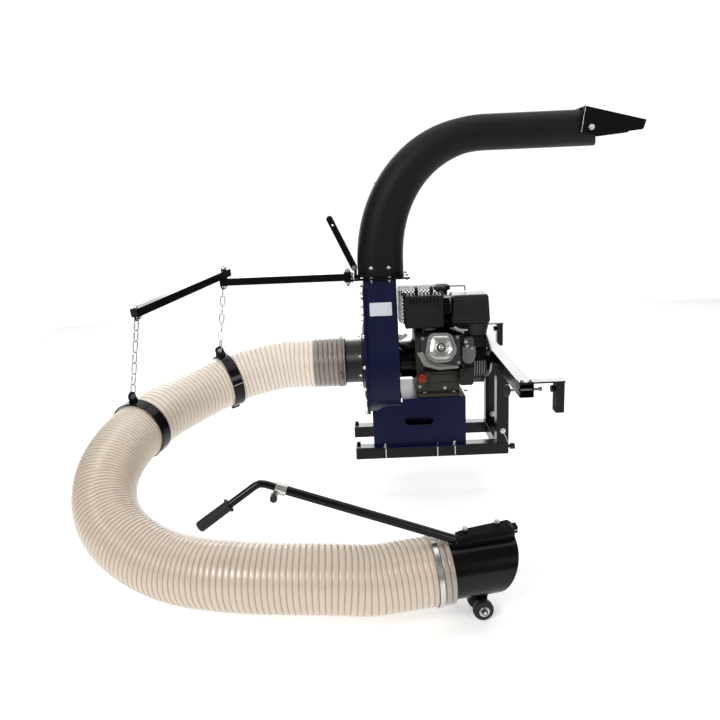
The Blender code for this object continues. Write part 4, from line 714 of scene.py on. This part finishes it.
def elbow_rows(wall, stations=72, steps=24):
    """Rounded-square rings up the bend. At the angle t from 0 to 90 degrees the middle lies at the bend's
    reach times (1 - cos t) and rise times sin t, both to a power a little under one, and the half width
    shrinks from the foot's to the mouth's while the corner's radius grows to the half width."""
    t = np.concatenate([[0.0], np.linspace(0, math.pi / 2, stations), [math.pi / 2, math.pi / 2]])
    part = 2 * t / math.pi
    x = ELBOW_X + BEND_X * (1 - np.maximum(np.cos(t), 0) ** BEND_FULL)
    z = ELBOW_LOW + ELBOW_RISE * np.sin(t) ** BEND_FULL
    z[0], x[-2], x[-1] = FOOT_TOP, 0.52, MOUTH_X
    way = np.stack([BEND_X * np.sin(t), ELBOW_RISE * np.cos(t)], 1)
    way /= np.linalg.norm(way, axis=1)[:, None]
    size = FOOT_HALF - (FOOT_HALF - MOUTH_HALF) * np.minimum(1, 1.15 * part) ** 1.3
    corner = size * (0.78 + 0.22 * np.minimum(1, 1.6 * part))
    a = np.linspace(0, 2 * math.pi, 4 * steps, endpoint=False)
    sign_u, sign_v = np.repeat([1, -1, -1, 1], steps), np.repeat([1, 1, -1, -1], steps)
    u = sign_u * (size - corner)[:, None] + (corner - wall)[:, None] * np.cos(a)
    v = sign_v * (size - corner)[:, None] + (corner - wall)[:, None] * np.sin(a)
    slant = np.zeros(len(t))
    slant[-1] = 0.4
    along = -slant[:, None] * v
    return np.dstack([x[:, None] - way[:, 1:] * v + way[:, :1] * along, -u,
                      z[:, None] + way[:, :1] * v + way[:, 1:] * along])


outer, inner = elbow_rows(0.0), elbow_rows(WALL)
turns = np.arctan2(-outer[0, :, 1], -(outer[0, :, 0] - ELBOW_X))
foot = [np.stack([FOOT_X - FOOT_R * np.cos(turns), -FOOT_R * np.sin(turns), np.full(len(turns), z)], 1)
        for z in (FOOT_Z, FOOT_TOP)]
throat = inner[0] - [0, 0, FOOT_TOP - FOOT_Z]
elbow_body = body_of("chute_elbow")
elbow = lattice([*foot, *outer, *inner[::-1], throat], True)
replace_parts(piece("elbow", [elbow], elbow_black, elbow_body, 50.0), "chute_elbow")
elbow_heads = [((x, side * 0.095, 0.792), (0, side, 1.1), 0.011, 0.006, 0.008)
               for side in (-1, 1) for x in (-0.171, -0.1)]
elbow_heads.insert(2, ((-0.1405, 0.0, 1.1265), (-0.87, 0, 0.493), 0.009, 0.004, 0.007))
bolts("elbow_bolts", elbow_heads, elbow_body)
ring = [(0, 0.0985), (0, 0.1068), (0.0035, 0.1068), (0.0045, 0.1058), (0.0045, 0.0985)]
piece("foot_ring", [spun((FOOT_X, 0, 0.7615), UP, ring, 96)], black_coat, elbow_body)
flange_heads = []
for x, y in ((-0.171, -0.115), (-0.099, -0.115), (-0.171, 0.115), (-0.099, 0.115), (-0.024, -0.05),
             (-0.024, 0.05)):
    flange_heads.append(((x, y, 0.7556), UP, 0.01, 0.004, 0.0085))
    flange_heads.append(((x, y, 0.7468), DOWN, 0.01, 0.006, 0.0085, 0.007))
bolts("flange_bolts", flange_heads)
dressed("chute_lever", black_coat)
lever_heads = [((-0.24, side * 0.0217, 0.79), (0, side, 0), 0.012, 0.006, 0.01) for side in (-1, 1)]
bolts("lever_bolts", lever_heads, body_of("chute_lever"))
hood_body = body_of("deflector_hood")
hood_black = powder_coat("hood_black", (0.001, 0.001, 0.0012), 0.45, 0.1, 0.08)
hood_line = [(0.677, 1.379), (0.668, 1.364), (0.662, 1.286), (0.724, 1.268), (0.902, 1.283),
             (0.906, 1.287), (0.916, 1.318)]
hood_parts = [extruded(hood_line, y, y + 0.003, 1) for y in (-0.08, 0.077)]
ridge = [(0.677, 1.3797), (0.916, 1.3187), (0.9153, 1.316), (0.6763, 1.377)]
hood_parts.append(extruded(ridge, -0.08, 0.08, 1))
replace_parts(piece("hood_sheet", hood_parts, hood_black, hood_body, 30.0), "deflector_hood")
# A bright zinc strip down the front edge of the near side plate of the black hood: a painted highlight for
# the line of light along that edge.
edge_highlight_strip = [(0.6775, 1.376), (0.6795, 1.376), (0.6665, 1.2835), (0.664, 1.2835)]
piece("hood_edge_highlight", [extruded(edge_highlight_strip, -0.0812, -0.0798, 1)], zinc, hood_body)
hood_heads = [((0.705, side * 0.0801, 1.3), (0, side, 0), 0.013, 0.006, 0.011) for side in (-1, 1)]
bolts("hood_bolts", hood_heads, hood_body)

# Boom
# Two square-tube arms, one turning on the bracket by the chute's foot and the other on the first arm's tip,
# on zinc plated bolts. Welded chains from their ends carry two split bands round the hose.
dressed("boom_bracket", black_coat)
dressed("boom_arm_inner", black_coat, 0.0014)
dressed("boom_arm_outer", black_coat, 0.0014)
JOINT, ARM_END = np.array([-0.78, -0.02, 0.755]), np.array([-1.007, -0.494, 0.718])
bolts("pivot_nuts", [((-0.268, -0.03, 0.7756), UP, 0.019, 0.009, 0.0135, 0.006),
                     ((-0.268, -0.03, 0.7344), DOWN, 0.019, 0.009, 0.0135, 0.008)])
bolts("joint_nuts", [(JOINT + [0, 0, 0.052], UP, 0.019, 0.009, 0.0125, 0.005),
                     (JOINT - [0, 0, 0.0152], DOWN, 0.017, 0.008, 0.012, 0.006)], body_of("boom_arm_inner"))
bolts("arm_end_nuts", [(ARM_END + [0, 0, 0.0152], UP, 0.014, 0.007, 0.0115, 0.003),
                       (ARM_END + [0.006, 0.012, -0.0158], DOWN, 0.014, 0.006, 0.0105, 0.005)],
      body_of("boom_arm_outer"))
for chain_name in ("inner_chain", "outer_chain"):
    dressed(chain_name, zinc, 0.0, 60.0)
for band_name in ("inner_hose_band", "outer_hose_band"):
    dressed(band_name, black_coat, 0.0006)
dressed("inlet_hose_clip", dull_zinc, 0.0003)
dressed("nozzle_hose_clip", zinc, 0.0003)

# Nozzle
# A steel pipe with its mouth cut on a curve, painted gloss black, with the handle's channel on top of it
# and a wheel bracket beneath. The handle's cranked upper tube slides in the lower one, in a split clamp.
for node, material, edge in (("nozzle", black_coat, 0.001), ("wheel_bracket", black_coat, 0.0008),
                             ("near_wheel", rubber, 0.0006), ("far_wheel", rubber, 0.0006),
                             ("handle_lower_tube", black_coat, 0.0), ("handle_upper_tube", black_coat, 0.0),
                             ("handle_clamp", cast_silver, 0.0006), ("clamp_knob", black_plastic, 0.001),
                             ("grip", rubber, 0.001)):
    dressed(node, material, edge, 32.0 if edge else 40.0)
HOSE_END = np.array([0.02, -1.006, -0.028])
NOZZLE_YAW, NOZZLE_PITCH, CHANNEL_TURN = math.radians(8), math.radians(3), math.radians(14)
CAP_HALF, AXLE_Z = 0.0178, -0.1625
nozzle_way = np.array([math.cos(NOZZLE_YAW) * math.cos(NOZZLE_PITCH),
                       math.sin(NOZZLE_YAW) * math.cos(NOZZLE_PITCH), math.sin(NOZZLE_PITCH)])
_, nozzle_side, nozzle_up = across(nozzle_way)
channel_out = nozzle_up * math.cos(CHANNEL_TURN) + nozzle_side * math.sin(CHANNEL_TURN)
channel_near = np.cross(channel_out, nozzle_way)
nozzle_body = body_of("nozzle")


def at_channel(s, h, w):
    """A point so far along the nozzle, so far out from its axis through the channel, and so far aside."""
    return HOSE_END + nozzle_way * s + channel_out * h + channel_near * w


def channel_block(*sections):
    """A bar along the nozzle through rectangles: each row holds its distance, then w0, w1, h0 and h1."""
    return lattice([[at_channel(s, h, w) for w, h in rectangle(*sides)] for s, *sides in sections])


cap = channel_block((0.024, -CAP_HALF, CAP_HALF, 0.104, 0.122), (0.06, -CAP_HALF, CAP_HALF, 0.108, 0.131),
                    (0.186, -CAP_HALF, CAP_HALF, 0.112, 0.14), (0.198, -CAP_HALF, CAP_HALF, 0.112, 0.13))
piece("channel_cap", [cap], hood_black, nozzle_body, 25.0, 0.001)
tab = channel_block((0.196, -0.008, 0.014, 0.106, 0.1275), (0.211, -0.008, 0.014, 0.106, 0.1275))
piece("rim_tab", [tab], hood_black, nozzle_body, 25.0)
tab_edge = channel_block((0.197, -0.009, 0.014, 0.116, 0.1185), (0.2115, -0.009, 0.014, 0.116, 0.1185))
piece("rim_tab_edge", [tab_edge], zinc, nozzle_body)
channel_bolts = []
for s, h in ((0.052, 0.1295), (0.15, 0.1375)):
    stem = at_channel(s, h, 0.01)
    channel_bolts.append(spun(stem, channel_out, [(0, 0.0045), (0.009, 0.0045)], 16))
    channel_bolts += hex_bolt(stem + 0.007 * channel_out, channel_out, 0.011, 0.007, 0.0085, 0.003)
piece("channel_bolts", channel_bolts, zinc, nozzle_body)
wheel_mid = HOSE_END + nozzle_way * 0.099
wheel_mid[2] = AXLE_Z
hub = [(0.0125, 0.0056), (0.0125, 0.0155), (0.014, 0.0165), (0.0155, 0.0155), (0.015, 0.012),
       (0.0135, 0.0056)]
for wheel_name, out in (("near_wheel", nozzle_side), ("far_wheel", -nozzle_side)):
    piece(f"{wheel_name}_hub", [spun(wheel_mid + out * 0.0315, out, hub)], zinc, body_of(wheel_name))
axle_nuts = [(wheel_mid + out * 0.048, out, 0.012, 0.006, 0.0095) for out in (nozzle_side, -nozzle_side)]
bolts("axle_nuts", axle_nuts, body_of("wheel_bracket"))

# Suction hose
# Eight-inch hose: a thin tan translucent wall wound with a stiff ivory rib every 20 mm, drawn out between
# the bands and pushed together round the bend after them. It is one hose, made here in three stretches that
# part under the bands, the first two bending with the boom.
RIB_PITCH = [(0.0, 0.02), (0.4, 0.02), (0.55, 0.0226), (0.95, 0.0226), (1.02, 0.0118), (1.25, 0.0114),
             (1.36, 0.0135), (1.49, 0.0151), (1.7, 0.0171), (1.92, 0.0176), (2.7, 0.018)]
RIB_R, VALLEY_R, BORE_R, STRAIGHT, PART = 0.1045, 0.1015, 0.0995, 0.205, 0.0003
hose_start = np.array([-0.292, 0.0, 0.39])
BAND_1, BAND_2 = np.array([-0.79, -0.072, 0.346]), np.array([-1.046, -0.471, 0.279])
hose_bends = [(-0.654, -0.022, 0.375), BAND_1, (-0.895, -0.175, 0.319), (-0.975, -0.309, 0.303), BAND_2,
              (-1.092, -0.598, 0.234), (-1.108, -0.723, 0.157), (-1.059, -0.831, 0.077),
              (-0.959, -0.911, 0.023), (-0.834, -0.97, -0.009), (-0.675, -1.018, -0.016),
              (-0.489, -1.04, -0.021), (-0.31, -1.044, -0.029)]


def smooth_line(points, first, last, count=4000):
    """The natural curve through the points by chord length, leaving and arriving in the given directions:
    each span is a cubic, and the slopes at the points keep the bending even from span to span."""
    p = np.array(points, float)
    h = np.linalg.norm(np.diff(p, axis=0), axis=1)
    t = np.concatenate([[0.0], np.cumsum(h)])
    n = len(p)
    left, right = np.eye(n), np.zeros((n, 3))
    k = np.arange(1, n - 1)
    left[k, k - 1], left[k, k], left[k, k + 1] = h[1:], 2 * (h[:-1] + h[1:]), h[:-1]
    ratio = (h[:-1] / h[1:])[:, None]
    right[1:-1] = 3 * (ratio * (p[2:] - p[1:-1]) + (p[1:-1] - p[:-2]) / ratio)
    right[0], right[-1] = first, last
    slope = np.linalg.solve(left, right)
    s = np.linspace(0, t[-1], count)
    i = np.clip(np.searchsorted(t, s, side="right") - 1, 0, n - 2)
    u, w = ((s - t[i]) / h[i])[:, None], h[i][:, None]
    return ((2 * u**3 - 3 * u**2 + 1) * p[i] + (u**3 - 2 * u**2 + u) * w * slope[i]
            + (3 * u**2 - 2 * u**3) * p[i + 1] + (u**3 - u**2) * w * slope[i + 1])


bent = smooth_line([hose_start - [STRAIGHT, 0, 0], *hose_bends, HOSE_END - nozzle_way * STRAIGHT],
                   (-1, 0, 0), nozzle_way)
hose_line = np.vstack([hose_start, bent, HOSE_END])
hose_run = np.concatenate([[0.0], np.cumsum(np.linalg.norm(np.diff(hose_line, axis=0), axis=1))])


def on_hose(s):
    """Points of the hose's middle line at the distances s from the inlet, and its directions there."""
    s = np.atleast_1d(s)
    at, ahead, behind = (np.stack([np.interp(s + shift, hose_run, hose_line[:, k]) for k in range(3)], 1)
                         for shift in (0.0, 0.003, -0.003))
    way = ahead - behind
    return at, way / np.linalg.norm(way, axis=1)[:, None]


def run_at(point):
    """The distance along the hose of the point on its middle line nearest to this one."""
    return hose_run[np.argmin(np.linalg.norm(hose_line - point, axis=1))]


def hose_finish():
    """Glossy ivory ribs with tan between them. The UV map's U counts the ribs, so its fraction says how far
    a point is from the groove; `cover` says how much of the dark pipe inside shows through the wall, and
    `pale` how much painted light lifts the colour there: the stretch near the inlet is painted paler, as if
    more light fell on it and shone through its wall."""
    made = Finish("hose_plastic", (0.62, 0.545, 0.44), 0.3, 0.0, Coat_Weight=0.45, Coat_Roughness=0.2)
    count = made.add("ShaderNodeSeparateXYZ", {}, {0: made.add("ShaderNodeUVMap", {"uv_map": "wind"}, {})})
    off = made.math("ABSOLUTE", made.math("FRACT", count) - 0.5)
    groove = made.add("ShaderNodeMapRange", {"interpolation_type": "SMOOTHSTEP"},
                      {"Value": off, "From Min": 0.34, "From Max": 0.47, "To Min": 0.0, "To Max": 1.0})
    cover, pale = (made.add("ShaderNodeAttribute", {"attribute_name": name}, {}, 2)
                   for name in ("cover", "pale"))
    cloud = made.noise(6.0, 4.0, 0.6)
    ivory = made.mixed(cloud, (0.66, 0.55, 0.44, 1.0), (0.59, 0.485, 0.38, 1.0))
    # Painted light: where `pale` is set, the ribs and the tan between them are mixed towards lighter tones.
    ivory = made.mixed(pale, ivory, (0.86, 0.765, 0.66, 1.0))
    tan = made.mixed(pale, (0.36, 0.285, 0.21, 1.0), (0.56, 0.455, 0.355, 1.0))
    tan = made.mixed(cover, tan, (0.06, 0.05, 0.042, 1.0))
    ribs = made.mixed(cover, ivory, (0.27, 0.235, 0.2, 1.0))
    made.feed("Base Color", made.mixed(groove, ribs, tan))
    made.feed("Roughness", 0.26 + cloud * 0.1 + groove * 0.12)
    return made.material


ivory_hose = hose_finish()
rib_run = np.linspace(0, 2.7, 5401)
rib_density = 1 / np.interp(rib_run, *np.array(RIB_PITCH).T)
rib_sum = np.concatenate([[0.0], np.cumsum((rib_density[1:] + rib_density[:-1]) / 2 * np.diff(rib_run))])


def ribs_at(s):
    """How many ribs lie before the distance s: the sum of one over the pitch from the inlet up to there."""
    return np.interp(s, rib_run, rib_sum)


def rings_round(s, radius, angle):
    """A ring of points for each distance along the hose, with one radius or one for each point."""
    at, way = on_hose(s)
    side = np.cross(way, [0, 0, 1])
    side /= np.linalg.norm(side, axis=1)[:, None]
    ring = np.cos(angle)[:, None] * side[:, None] + np.sin(angle)[:, None] * np.cross(side, way)[:, None]
    return at[:, None] + radius * ring


def hose_stretch(name, start, stop, sides=96, steps=8):
    """Ring after ring along the line. Each point's radius is the valley's plus a rib that is flat on top and
    round at its flanks: the distance from the nearest groove, counted along the winding, goes through a
    smooth step. Plain rings go back along the bore."""
    first, last = ribs_at(start), ribs_at(stop)
    s = np.interp(np.linspace(first, last, int(round((last - first) * steps)) + 1), rib_sum, rib_run)
    inner_s = np.linspace(stop, start, max(4, int((stop - start) / 0.05)))
    angle = np.linspace(0, 2 * math.pi, sides, endpoint=False)
    wind = ribs_at(s)[:, None] + angle / (2 * math.pi)
    depth = np.clip((np.abs(wind % 1.0 - 0.5) - 0.28) / 0.2, 0, 1)
    depth = depth * depth * (3 - 2 * depth)
    swell = 1 + 0.035 * np.clip(1 - s / 0.42, 0, 1)[:, None]
    radius = (RIB_R - (RIB_R - VALLEY_R) * depth) * swell
    rows = np.concatenate([rings_round(s, radius[:, :, None], angle), rings_round(inner_s, BORE_R, angle)])
    corners = rows.reshape(-1, 3)
    quads = outwards(corners, quads_between(len(rows), sides, True))
    made = mesh_object(name, corners - TAILGATE, quads, ivory_hose)
    column = quads % sides
    u = np.concatenate([wind, np.repeat(ribs_at(inner_s)[:, None], sides, 1)]).reshape(-1)[quads]
    over_seam = (column == 0) & (column.max(1) == sides - 1)[:, None] & (quads // sides < len(s))
    wound = np.stack([(u + over_seam).reshape(-1), column.reshape(-1) / sides], 1)
    made.data.uv_layers.new(name="wind").data.foreach_set("uv", wound.astype(np.float32).reshape(-1))
    cover = np.clip((0.14 - s) / 0.012, 0, 1) + np.clip((s - hose_run[-1] + 0.075) / 0.05, 0, 1) * 0.75
    # Painted light: `pale` is 1 up to 0.275 m from the inlet and fades to 0 by 1.375 m, so that stretch
    # looks more brightly lit.
    pale = np.clip(1.25 - s / 1.1, 0, 1)
    for attribute, value in (("cover", cover), ("pale", pale)):
        values = np.concatenate([np.repeat(value, sides), np.zeros(len(inner_s) * sides)]).astype(np.float32)
        made.data.attributes.new(attribute, "FLOAT", "POINT").data.foreach_set("value", values)
    return made


run_1, run_2 = run_at(BAND_1), run_at(BAND_2)
inlet_hose = hose_stretch("inlet_hose", 0.002, run_1 - PART)
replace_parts(inlet_hose, "hose_inlet_stretch")
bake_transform(inlet_hose, "root", "inner_boom", hose_start - TAILGATE - [0.13, 0, 0], BAND_1 - TAILGATE)
mid_hose = hose_stretch("mid_hose", run_1 + PART, run_2 - PART)
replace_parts(mid_hose, "hose_mid_stretch")
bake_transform(mid_hose, "inner_boom", "outer_boom", BAND_1 - TAILGATE, BAND_2 - TAILGATE)
main_hose = hose_stretch("main_hose", run_2 + PART, hose_run[-1] - 0.001)
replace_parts(main_hose, "hose_main_stretch")
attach(main_hose, "outer_boom")

# Band ears
# Each split band has an ear of plate welded on top, round about a zinc-lined hole for the chain's last link,
# and a seam where its two halves meet at the front.
BAND_R, BAND_HALF, SEAM_HIGH, EAR_OUT, EAR_R, EAR_HALF = 0.112, 0.0223, 0.0013, 0.1365, 0.018, 0.0027
EYE_R, LINING, LINING_HALF = 0.0062, (0.0056, 0.0078), 0.0032
seam_sides = rectangle(-BAND_HALF, BAND_HALF, BAND_R, BAND_R + SEAM_HIGH)
web = [(-0.0225, BAND_R), (0.0225, BAND_R), (EAR_R, EAR_OUT - EYE_R), (-EAR_R, EAR_OUT - EYE_R)]


def tube(thick, hole, radius):
    """The closed profile of a ring with an open hole, for spun."""
    return [*washer(thick, hole, radius), (0, hole)]


for run, ear_name, band_body, seam_metal in ((run_1, "inner_band", "inner_boom", zinc),
                                             (run_2, "outer_band", "outer_boom", black_plastic)):
    (at,), (way,) = on_hose(run)
    _, side, up = across(way)
    eye = at + EAR_OUT * up
    ear = [spun(eye - EAR_HALF * side, side, tube(2 * EAR_HALF, EYE_R, EAR_R), 40)]
    ear.append(lattice([[at + out * up + shift * way + t * side for shift, out in web]
                        for t in (-0.0025, 0.0025)]))
    piece(f"{ear_name}_ear", ear, black_coat, band_body, 40.0)
    lining = spun(eye - LINING_HALF * side, side, tube(2 * LINING_HALF, *LINING))
    piece(f"{ear_name}_eye", [lining], zinc, band_body)
    seam_ways = [math.cos(turn) * side + math.sin(turn) * up for turn in np.radians([176.4, 177.8])]
    seam = [[at + out * seam_way + shift * way for shift, out in seam_sides] for seam_way in seam_ways]
    piece(f"{ear_name}_seam", [lattice(seam)], seam_metal, band_body)

# Studio
# White floor and backdrop, a tall white panel behind the machine and a wide one over it, which the level
# faces mirror, and softer lights from the front for the hose. The photograph's camera.
FLOOR_Z = -0.1965 - TAILGATE[2]
WHITE = (1.0, 1.0, 1.0, 1.0)
floor_corners = np.array([(x, y, FLOOR_Z) for x, y in rectangle(-3.9, 3.4, -3.2, 4.58)])
pale_floor = Finish("pale_floor", (0.92, 0.92, 0.92), 0.9, 0.0,
                    Specular_IOR_Level=0.1, Emission_Color=WHITE, Emission_Strength=0.41)
floor = mesh_object("floor", floor_corners, np.array([(0, 1, 2, 3)]), pale_floor.material)

scene = bpy.context.scene
scene.view_settings.view_transform = "Standard"
world = bpy.data.worlds.new("studio")
world.use_nodes = True
sky = world.node_tree.nodes["Background"]
sky.inputs["Color"].default_value = WHITE
seen = world.node_tree.nodes.new("ShaderNodeLightPath")
level = world.node_tree.nodes.new("ShaderNodeMath")
level.operation = "MULTIPLY_ADD"
level.inputs[1].default_value, level.inputs[2].default_value = 0.95, 0.13
world.node_tree.links.new(seen.outputs["Is Camera Ray"], level.inputs[0])
world.node_tree.links.new(level.outputs[0], sky.inputs["Strength"])
scene.world = world


def soft_light(name, at, aim, size, power):
    """A rectangular panel of light at a point, facing another."""
    lamp = bpy.data.lights.new(name, "AREA")
    lamp.shape = "RECTANGLE"
    lamp.size, lamp.size_y = size
    lamp.energy = power
    made = bpy.data.objects.new(name, lamp)
    made.location = at
    made.rotation_euler = (Vector(aim) - Vector(at)).to_track_quat("-Z", "Y").to_euler()
    scene.collection.objects.link(made)
    return made


mirrored = soft_light("back_panel", (-0.5, 4.6, 1.5), (-0.5, 0.0, 1.5), (10.0, 4.6), 340)
mirrored.visible_diffuse = False
soft_light("back_wash", (-0.5, 4.5, 2.2), (-0.5, 0.0, 0.4), (5.0, 2.4), 95)
soft_light("top_panel", (-0.5, 0.8, 3.6), (-0.5, 0.8, 0.0), (6.0, 5.0), 140)
soft_light("key", (-3.6, -5.4, 3.6), (-0.6, -0.2, 0.0), (2.4, 2.0), 225)
soft_light("fill", (3.4, -5.4, 2.2), (-0.2, -0.2, 0.1), (2.0, 1.6), 80)

LENS_PX, FRAME_PX, SENSOR_MM = 703.25, 720, 36.0
CAMERA_AT = np.array([-0.1991, -2.939, 1.103])
yaw, pitch, roll = -0.0114, 0.2374, 0.0446
look = np.array([math.sin(yaw) * math.cos(pitch), math.cos(yaw) * math.cos(pitch), -math.sin(pitch)])
right = np.array([math.cos(yaw), -math.sin(yaw), 0.0])
upward = np.cross(right, look)
camera_data = bpy.data.cameras.new("camera")
camera_data.sensor_width = SENSOR_MM
camera_data.lens = SENSOR_MM * LENS_PX / FRAME_PX
camera = bpy.data.objects.new("camera", camera_data)
scene.collection.objects.link(camera)
stand = np.eye(4)
stand[:3, 0] = right * math.cos(roll) - upward * math.sin(roll)
stand[:3, 1] = right * math.sin(roll) + upward * math.cos(roll)
stand[:3, 2] = -look
stand[:3, 3] = CAMERA_AT - TAILGATE
camera.matrix_world = Matrix(stand.tolist())
scene.camera = camera
